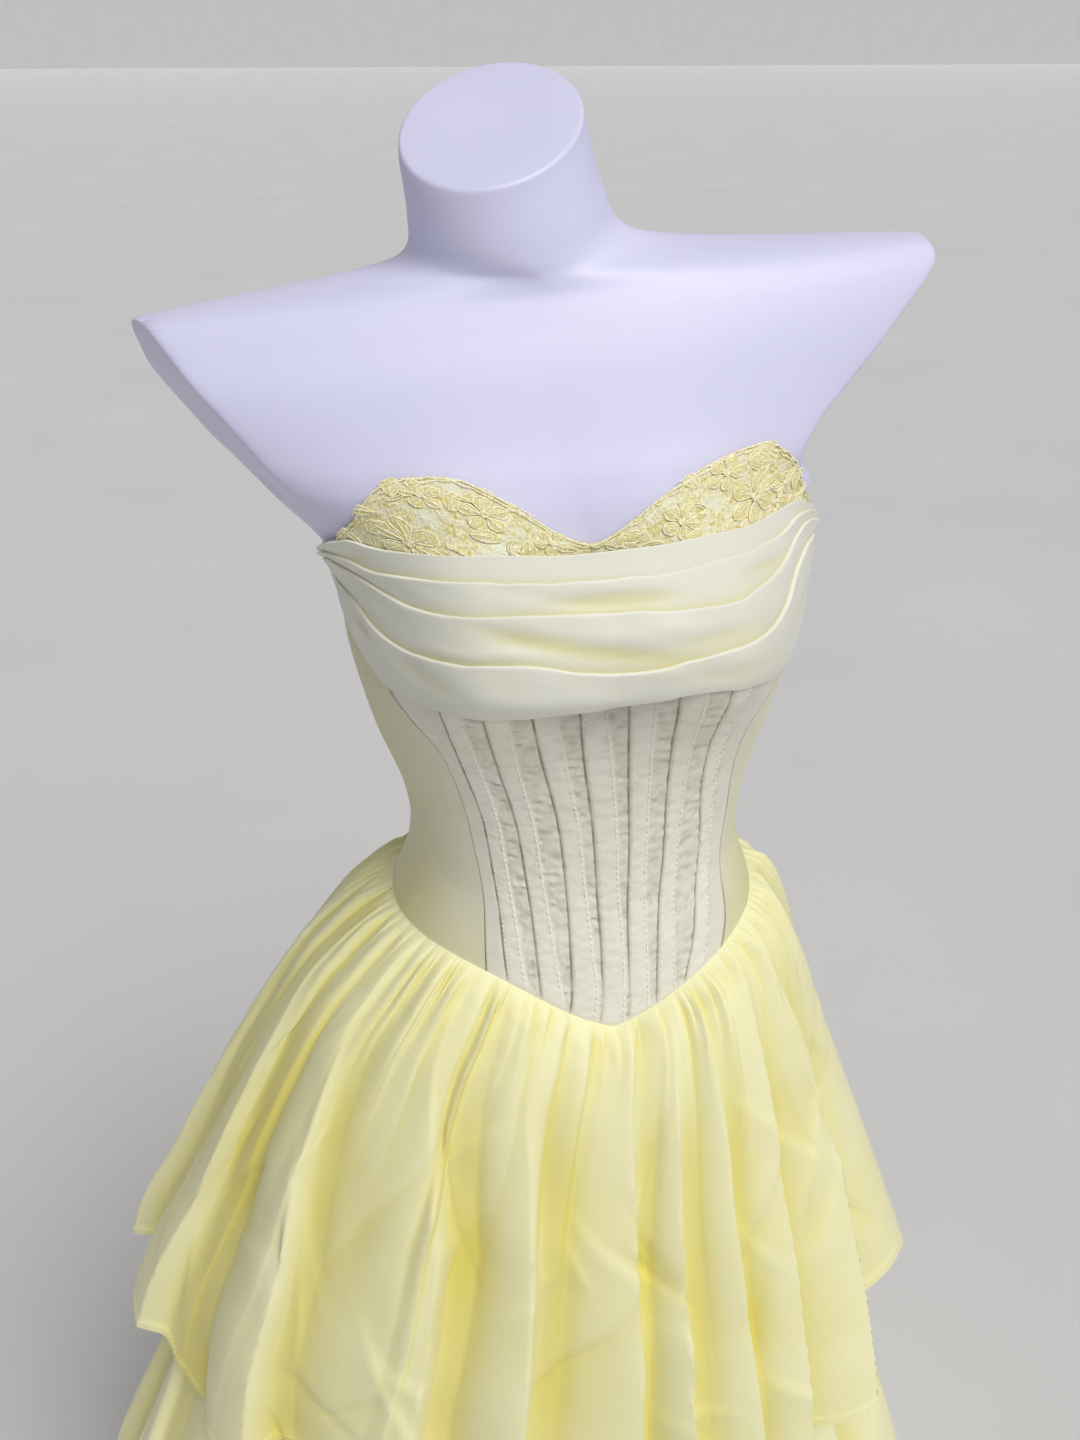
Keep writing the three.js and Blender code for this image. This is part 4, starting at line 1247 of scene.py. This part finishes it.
BODY_UP = np.concatenate([[0, 0.01], np.linspace(0.03, 0.97, 60), [0.99, 1]])
SIDE_UP = np.concatenate([BODY_UP, np.linspace(1.0001, 2, 30)])


def panel_relief(seed):
    """Soft pulls in plain satin, strongest near the waist."""
    def relief(angle, height, place):
        waist = np.exp(-(((height - 1045) / 45) ** 2))
        pull = noise(angle / 16, height / 13, seed) * 0.5 * waist
        return pull + 0.25 * noise(angle / 8, height / 30, seed + 1)
    return relief


def make_side_panels():
    """Plain satin between the corset's seams and the side seams, up to the top edge."""
    for word, side in SIDES:
        seams = [partial(straight_seam, side * SIDE_SEAM), partial(front_seam, side)]
        bodice_panel(
            "side_satin_" + word, "satin", "side_panel_" + word,
            seams[::-side], np.linspace(0, 1, 60), SIDE_UP,
            panel_relief(31 + side), {"depth": painted_shade_and_reflection, "edge": none},
        )


def make_back_panels():
    """The plain back, whose two halves meet over the concealed centre-back zip."""
    def relief_for(side):
        soft = panel_relief(41 + side)
        def relief(angle, height, place):
            from_middle = np.radians(180 - np.abs(angle)) * CORSET_RADIUS
            ridge = 0.7 * np.exp(-(((from_middle - 5) / 4) ** 2))
            ripple = noise(from_middle / 14, height / 7, 47) * 0.6 * np.exp(-from_middle / 16)
            lip = -0.9 * np.exp(-((from_middle / 1.2) ** 2))
            return soft(angle, height, place) + ridge + ripple + lip
        return relief
    for word, side in SIDES:
        seams = [partial(straight_seam, side * SIDE_SEAM), partial(straight_seam, side * 180)]
        bodice_panel(
            "back_satin_" + word, "satin", "back_panel_" + word,
            seams[::side], np.linspace(0, 1, 74), np.linspace(0, 2, 110),
            relief_for(side), {"depth": painted_shade_and_reflection, "edge": none},
        )


# Soft hollows and ridges of the drape: a line from one place to another, width and height
DRAPE_CREASES = (
    (-14, 1248, 16, 1247, 3.6, -1.9),
    (26, 1251, 46, 1252, 3.2, -1.1),
    (-32, 1238, 16, 1217, 4.2, -2.7),
    (-20, 1227, 26, 1232, 5, 1.0),
    (4, 1226, 34, 1228, 4, -1.2),
    (-46, 1222, -14, 1226, 3, 1.2),
    (-40, 1204, 8, 1201, 5, 1.2),
    (-52, 1212, -28, 1200, 4, -1.0),
    (10, 1210, 40, 1207, 4, -0.8),
    (-58, 1263, -46, 1267, 2, -0.9),
    (-62, 1240, -52, 1230, 3, 0.9),
    (60, 1243, 78, 1246, 2.5, -1.0),
    (56, 1252, 74, 1255, 2, 0.8),
    (46, 1212, 72, 1228, 4, -1.4),
    (-72, 1226, -58, 1210, 4, -1.3),
)


def make_drape():
    """The bust drape: four bands of bias satin, each rolled over into a folded upper edge."""
    angles = np.linspace(-DRAPE_HALF, DRAPE_HALF, 300)
    rows = []
    for band, lower in enumerate(DRAPE_EDGES[:-1]):
        last = band == len(DRAPE_EDGES) - 2
        for share, stand, past in BAND_ROWS:
            lap = past if band > 0 or share == 1 else 0
            if last:
                stand = stand * 0.3
                lap = lap * (0.3 if share == 1 else 1)
            rows.append((lower, DRAPE_EDGES[band + 1], share, stand, lap, band))
    height, stand, hollow, edge = [], [], [], []
    tight = 1 - 0.78 * (np.abs(angles) / DRAPE_HALF) ** 2.6
    # The upmost inner fold flattens out right of the middle
    flattened = 0.85 * np.exp(-(((angles - 20) / 22) ** 4))
    lines = {}
    for k, name in enumerate(DRAPE_EDGES):
        row = angles * 0 + k
        nicks = 0.5 * noise(angles / 4.5, row, 55) + 0.7 * noise(angles / 13, row, 56)
        lines[name] = look_up(DRAPE_LINES, "angle", angles, name) + nicks * tight**3
    for lower, upper, share, off, lap, band in rows:
        low, high = lines[lower], lines[upper]
        room = np.clip((high - low) / 9, 0.15, 1)
        height.append(blend(low, high, share) + lap * room)
        faint = 1 - flattened * (band == 2)
        stand.append(PLEAT_STAND * off * tight * faint)
        under = 1 - flattened * (band == 3)
        # Painted shade: each band but the lowest darkens at its foot, just above the fold below it
        hollow.append(under * (math.exp(-share / 0.16) if band else 0))
        # Painted highlight: the row along each folded edge is paled
        edge.append(tight * faint * (share == 1 and off < 1.01))
    angle = np.tile(angles, (len(rows), 1))
    height, stand = np.stack(height), np.stack(stand)
    folds = creases(DRAPE_CREASES, angle, height, DRAPE_DEGREE)
    pulls = 0.35 * noise(angle / 9, height / 7 + angle / 14, 51) * smooth_step(0, 1.2, stand)
    near_side = smooth_step(52, 84, np.abs(angle))
    fan = 0.8 * np.sin(height / 2.3 + angle * 0.22) * near_side * smooth_step(0, 1, stand)
    rise = np.maximum(stand + (folds + pulls + fan) * smooth_step(0, 1, stand + 0.4), -0.7)
    outer = raised(drape_surface, angle, height, DRAPE_LIFT + rise)
    inner_height = np.linspace(height[0] + 0.3, height[-1] - 0.1, len(rows))
    inner = raised(drape_surface, angle, inner_height, np.full(angle.shape, DRAPE_INNER))
    # depth is painted shade in the hollows and the crease troughs; edge is the painted highlight on the
    # folded edges
    depth = np.clip(np.stack(hollow) * 0.6 + np.clip(-folds, 0, 2.6) * 0.32, 0, 1)
    marks = {"depth": depth, "edge": np.stack(edge)}
    piece = cloth_piece("drape_pleated", MATERIALS["satin"], outer, inner, marks)
    finished(piece, ["bust_drape"])


def fold_back(folds, angle):
    """How far the cloth falls back from its crests, and its share of the fold's depth.

    Each fold is its crest, valley and depth, which may differ from row to row. The cloth drops
    sharply past a crest and climbs in a broad panel to the next one."""
    back, share_down = np.zeros_like(angle), np.zeros_like(angle)
    for k, (crest, valley, depth) in enumerate(folds):
        following = folds[(k + 1) % len(folds)][0]
        turned = (angle - crest) % 360
        reach = (following - crest) % 360
        fall = (valley - crest) % 360
        dropping = 1 - (1 - np.clip(turned / fall, 0, 1)) ** 3.6
        climbing = np.clip((reach - turned) / (reach - fall), 0, 1) ** 1.45
        down = np.where(turned < fall, dropping, climbing)
        inside = turned < reach
        back = np.where(inside, depth * down, back)
        share_down = np.where(inside, down, share_down)
    return back, share_down


def over_three(top, middle, hem, share):
    """A value that is given at the waist, half way and at the hem, at a share of the way."""
    upper = blend(top, middle, share / MIDDLE_SHARE)
    lower = blend(middle, hem, (share - MIDDLE_SHARE) / (1 - MIDDLE_SHARE))
    return np.where(share < MIDDLE_SHARE, upper, lower)


def leaned(folds, angle, lean):
    """Angles whose crests are pushed over the valleys after them, as a share of the fall."""
    push = np.zeros_like(angle)
    for k, (crest, valley, _) in enumerate(folds):
        fall = (valley - crest) % 360
        before = (crest - folds[k - 1][1]) % 360
        turned = (angle - crest + 180) % 360 - 180
        width = np.where(turned > 0, 0.36 * fall, 0.6 * before)
        push += lean * fall * np.exp(-((turned / width) ** 2))
    return angle + push


def gather_table(count, seed, from_angle, to_angle, lengths=(30, 65, 120, 220)):
    """Uneven gathers round a seam: where each ends, its height and how far down it runs."""
    draw = np.random.default_rng(seed)
    widths = draw.uniform(0.35, 1.9, count)
    ends = from_angle + (to_angle - from_angle) * np.cumsum(widths) / widths.sum()
    heights = draw.uniform(0.45, 1.3, count)
    runs = draw.choice(lengths, count)
    return ends, heights, runs * draw.uniform(0.8, 1.2, count)


def gathers(rows, angle, drop, height):
    """Tucks that rise slowly and drop sharply at their right edge; also where each drops."""
    ends, heights, runs = rows
    start = ends[0] - 360
    total, hollow = np.zeros_like(angle), np.zeros_like(angle)
    for end, tall, run in zip(ends, heights, runs):
        around = (angle - start) % 360 + start
        share = (around - start) / (end - start)
        inside = (share >= 0) & (share < 1)
        share = np.clip(share, 0, 1)
        rise = smooth_step(0, 0.8, share) * smooth_step(1, 0.86, share)
        fade = np.exp(-((drop / run) ** 1.4))
        total = np.where(inside, height * tall * rise * fade, total)
        # Where each tuck drops, kept for painted shade in its hollow
        past = np.exp(-share / 0.22) + np.exp((share - 1) / 0.05)
        hollow = np.where(inside, past * fade * tall, hollow)
        start = end
    return total, np.clip(hollow, 0, 1)


UPPER_GATHERS = gather_table(GATHER["count"], 71, -90, 270)
FINE_GATHERS = gather_table(FINE_GATHER["count"], 75, -90, 270, FINE_GATHER["runs"])
LOWER_GATHERS = gather_table(LOWER_GATHER["count"], 72, -90, 270)
UPPER_CREASES = [
    (15, 205, 21, 275, 9, 3.4), (23, 330, 13, 392, 9, 3.0), (12, 290, 26, 312, 8, 2.4),
    (34, 210, 30, 300, 9, -3.2), (30, 300, 38, 350, 9, 3.0), (-30, 250, -17, 272, 8, 2.2),
    (-44, 300, -24, 330, 9, -2.4), (-66, 240, -50, 200, 9, 2.4), (-2, 120, 4, 170, 8, 2.8),
    *sharp_creases(56, 61, ((-100, 100), (30, 330)), (60, 190), 9, 3.6),
    *sharp_creases(36, 62, ((100, 250), (30, 330)), (60, 190), 9, 3.6),
]


def upper_tier_grid(angles, shares):
    """The upper tier's surface; shares run from the hem, 1, up to the waist seam, 0."""
    angle, share = np.meshgrid(angles, shares)
    folds = []
    for top, middle, hem, after_top, after_middle, after_hem, depth in UPPER_FOLDS:
        folds.append((
            over_three(top, middle, hem, share),
            over_three(after_top, after_middle, after_hem, share),
            depth * share**UPPER_GROWTH,
        ))
    seam = waist_height(angle) + WAIST_LAP
    hem = look_up(UPPER_HEM, "angle", wrapped(angle), "z")
    drop = share * (seam - hem)
    folded, share_down = fold_back(folds, angle)
    swing = smooth_step(0.03, 0.3, share)
    pushed = blend(angle, leaned(folds, angle, GATHER["lean"]), swing)
    sine, cosine = np.sin(np.radians(pushed)), np.cos(np.radians(pushed))
    # At the seam the gathered edge lies over the bodice, and the cloth swells over the yoke
    swell = blend(BODICE_LIFT + 0.7, TIER_LIFT + 0.4, smooth_step(0, 3, drop))
    start = raised(body_point, angle, seam, swell)
    side = look_up(UPPER_PROFILE, "drop", drop, "side")
    front = look_up(UPPER_PROFILE, "drop", drop, "front")
    back = look_up(UPPER_PROFILE, "drop", drop, "back")
    growth = np.clip(drop / GATHER["rise"], GATHER["least"], 1)
    tucks, hollow = gathers(UPPER_GATHERS, angle, drop, GATHER["height"])
    fine, fine_hollow = gathers(FINE_GATHERS, angle, drop, FINE_GATHER["height"])
    fine_growth = np.clip(drop / FINE_GATHER["rise"], 0.2, 1)
    tucks = tucks * growth + fine * fine_growth
    hollow = np.maximum(hollow * growth, 0.8 * fine_hollow * fine_growth)
    crumple = broken(UPPER_CREASES, angle, drop, UPPER_DEGREE) * smooth_step(25, 80, drop)
    crumple += 1.0 * noise(angle / 5, drop / 45, 74) * smooth_step(40, 120, drop)
    out = tucks + crumple - folded
    depth = np.where(cosine > 0, front, back) + out
    x = start[..., 0] + sine * (side + out) + look_up(UPPER_PROFILE, "drop", drop, "sway")
    y = start[..., 1] - cosine * depth - UPPER_TURN * share * x
    # Painted shade: a deeper yellow in the fold valleys, in the gathers' hollows and in the creases'
    # troughs
    shade = (0.5 * share_down**3 + 0.28 * share_down) * smooth_step(0.02, 0.3, share) + 0.9 * hollow
    shade += np.clip(-crumple * 0.1, 0, 0.35)
    return np.stack([x, y, seam - drop], axis=-1), np.clip(shade, 0, 1)


def oval_point(profile, angle, z, folded):
    """A place on a level oval of a profile, drawn in by folded."""
    section = {name: look_up(profile, "z", z, name) for name in profile}
    sine, cosine = np.sin(np.radians(angle)), np.cos(np.radians(angle))
    depth = np.where(cosine > 0, section["front"], section["back"])
    return np.stack([
        (section["half"] - folded) * signed_power(sine, OVAL_POWER) + section["middle"],
        -(depth - folded) * signed_power(cosine, OVAL_POWER),
        np.broadcast_to(z, np.shape(angle)).astype(float),
    ], axis=-1)


LOWER_CREASES = sharp_creases(60, 81, ((-180, 180), (60, 720)), (60, 180), 11, 2.4)


def lower_tier_grid(angles, shares):
    """The lower tier's surface; shares run from the hem, 1, up to the yoke, 0."""
    angle, share = np.meshgrid(angles, shares)
    z = blend(YOKE_HEM - SEAM_GAP, LOWER_HEM, share)
    growth = share**LOWER_GROWTH
    folds = [(crest, valley, depth * growth) for crest, valley, depth in LOWER_FOLDS]
    folded, share_down = fold_back(folds, angle)
    swing = smooth_step(0.05, 0.5, share)
    pushed = blend(angle, leaned(folds, angle, LOWER_GATHER["lean"]), swing)
    drop = YOKE_HEM - z
    tucks, hollow = gathers(LOWER_GATHERS, angle, drop, LOWER_GATHER["height"])
    tucks *= np.clip(drop / 8, 0.1, 1)
    crumple = broken(LOWER_CREASES, angle, drop, LOWER_DEGREE) * smooth_step(40, 120, drop)
    crumple += 1.6 * noise(angle / 5, drop / 90, 83) * smooth_step(30, 120, drop)
    points = oval_point(LOWER_PROFILE, pushed, z, folded - tucks - crumple)
    # Painted shade: a deeper yellow in the fold valleys and the gathers' hollows
    shade = 0.6 * share_down**2.2 * smooth_step(0.02, 0.3, share) + 0.5 * hollow
    return points, np.clip(shade, 0, 1)


def yoke_grid(angles, shares):
    """The yoke lies on the form at the waist and hangs free lower down."""
    angle, share = np.meshgrid(angles, shares)
    top = waist_height(angle) - YOKE_TUCK
    z = blend(top, YOKE_HEM, share)
    on_form = raised(body_point, angle, z, np.full(angle.shape, YOKE_LIFT))
    hanging = oval_point(YOKE_PROFILE, angle, z, 0)
    loose = smooth_step(0, 1, np.clip(share * YOKE_RELEASE, 0, 1))[..., None]
    return on_form * (1 - loose) + hanging * loose, np.zeros_like(angle)


HEM_FOLD = 8.0
SEAM_HALF = 0.03  # degrees from a skirt panel's edge to the middle of its seam


def skirt_piece(name, grid, span, columns, shares, material, node, hem=True, lap=False):
    """One panel of a skirt tier or the yoke, with its narrow turned-up hem. Where it laps over
    the bodice, its upper edge is closed down onto it."""
    angles = np.linspace(span[0] + SEAM_HALF, span[1] - SEAM_HALF, columns)
    outer, shade = grid(angles, shares)
    out = grid_outward(outer)
    if hem:
        from_hem = np.linalg.norm(outer - outer[0][None], axis=-1)
        doubled = smooth_step(HEM_FOLD + 0.9, HEM_FOLD - 0.4, from_hem) * 0.55
        outer = outer + out * doubled[..., None]
    inner = outer - out * SKIRT_WALL
    if lap:
        edge = waist_height(angles) + WAIST_LAP
        inner[-1] = raised(body_point, angles, edge, np.full(angles.shape, BODICE_LIFT + 0.04))
    # The depth mark carries the painted shade of the folds into the cloth's colour; the yoke's is zero
    piece = cloth_piece(name, MATERIALS[material], outer, inner, {"depth": shade})
    finished(piece, [node])
    return outer, out


def hem_stitches(name, outer, out):
    """A row of stitches above the turned-up hem."""
    from_hem = np.linalg.norm(outer - outer[0][None], axis=-1)
    rows = np.argmin(np.abs(from_hem - (HEM_FOLD - 2)), axis=0)
    columns = np.arange(outer.shape[1])
    parts = stitches_along(
        outer[rows, columns], out[rows, columns], 2.0, 2.6, 1.6, [0.12] * 3, [0.26] * 3
    )
    return joined_piece(name, parts, "hem_thread")


def tier_shares(rows, hem_share):
    """Rows from the hem up: close together in the hem and again at the gathers."""
    hem = np.linspace(1, 1 - hem_share, 7)
    rest = np.linspace(1 - hem_share, 0, rows)
    return np.concatenate([hem, blend(rest[1:], rest[1:] ** 1.35 * (1 - hem_share) ** -0.35, 0.8)])


def make_skirt():
    """Both gathered tiers with their hems, and the plain yoke between them and the form."""
    tiers = (
        ("upper", upper_tier_grid, {"front": 420, "back": 300}, tier_shares(96, 0.024)),
        ("lower", lower_tier_grid, {"front": 230, "back": 230}, tier_shares(70, 0.012)),
    )
    hems = {}
    for tier, grid, columns, shares in tiers:
        for half, span in HALVES.items():
            name = tier + "_" + half
            outer, out = skirt_piece(
                "skirt_" + name, grid, span, columns[half], shares, "chiffon",
                tier + "_tier_" + half, lap=tier == "upper",
            )
            hems["skirt_" + name] = [hem_stitches("hem_stitches_" + name, outer, out)]
    for half, span in HALVES.items():
        skirt_piece(
            "hip_yoke_" + half, yoke_grid, span, 80, np.linspace(1, 0, 30), "lining",
            "yoke_" + half, hem=False,
        )
    return hems


set_camera()
set_stage()
make_form()
make_stand()
make_cups()
lace = make_lace()
make_corset()
corset_stitches = make_corset_stitches()
make_side_panels()
make_back_panels()
make_drape()
hems = make_skirt()
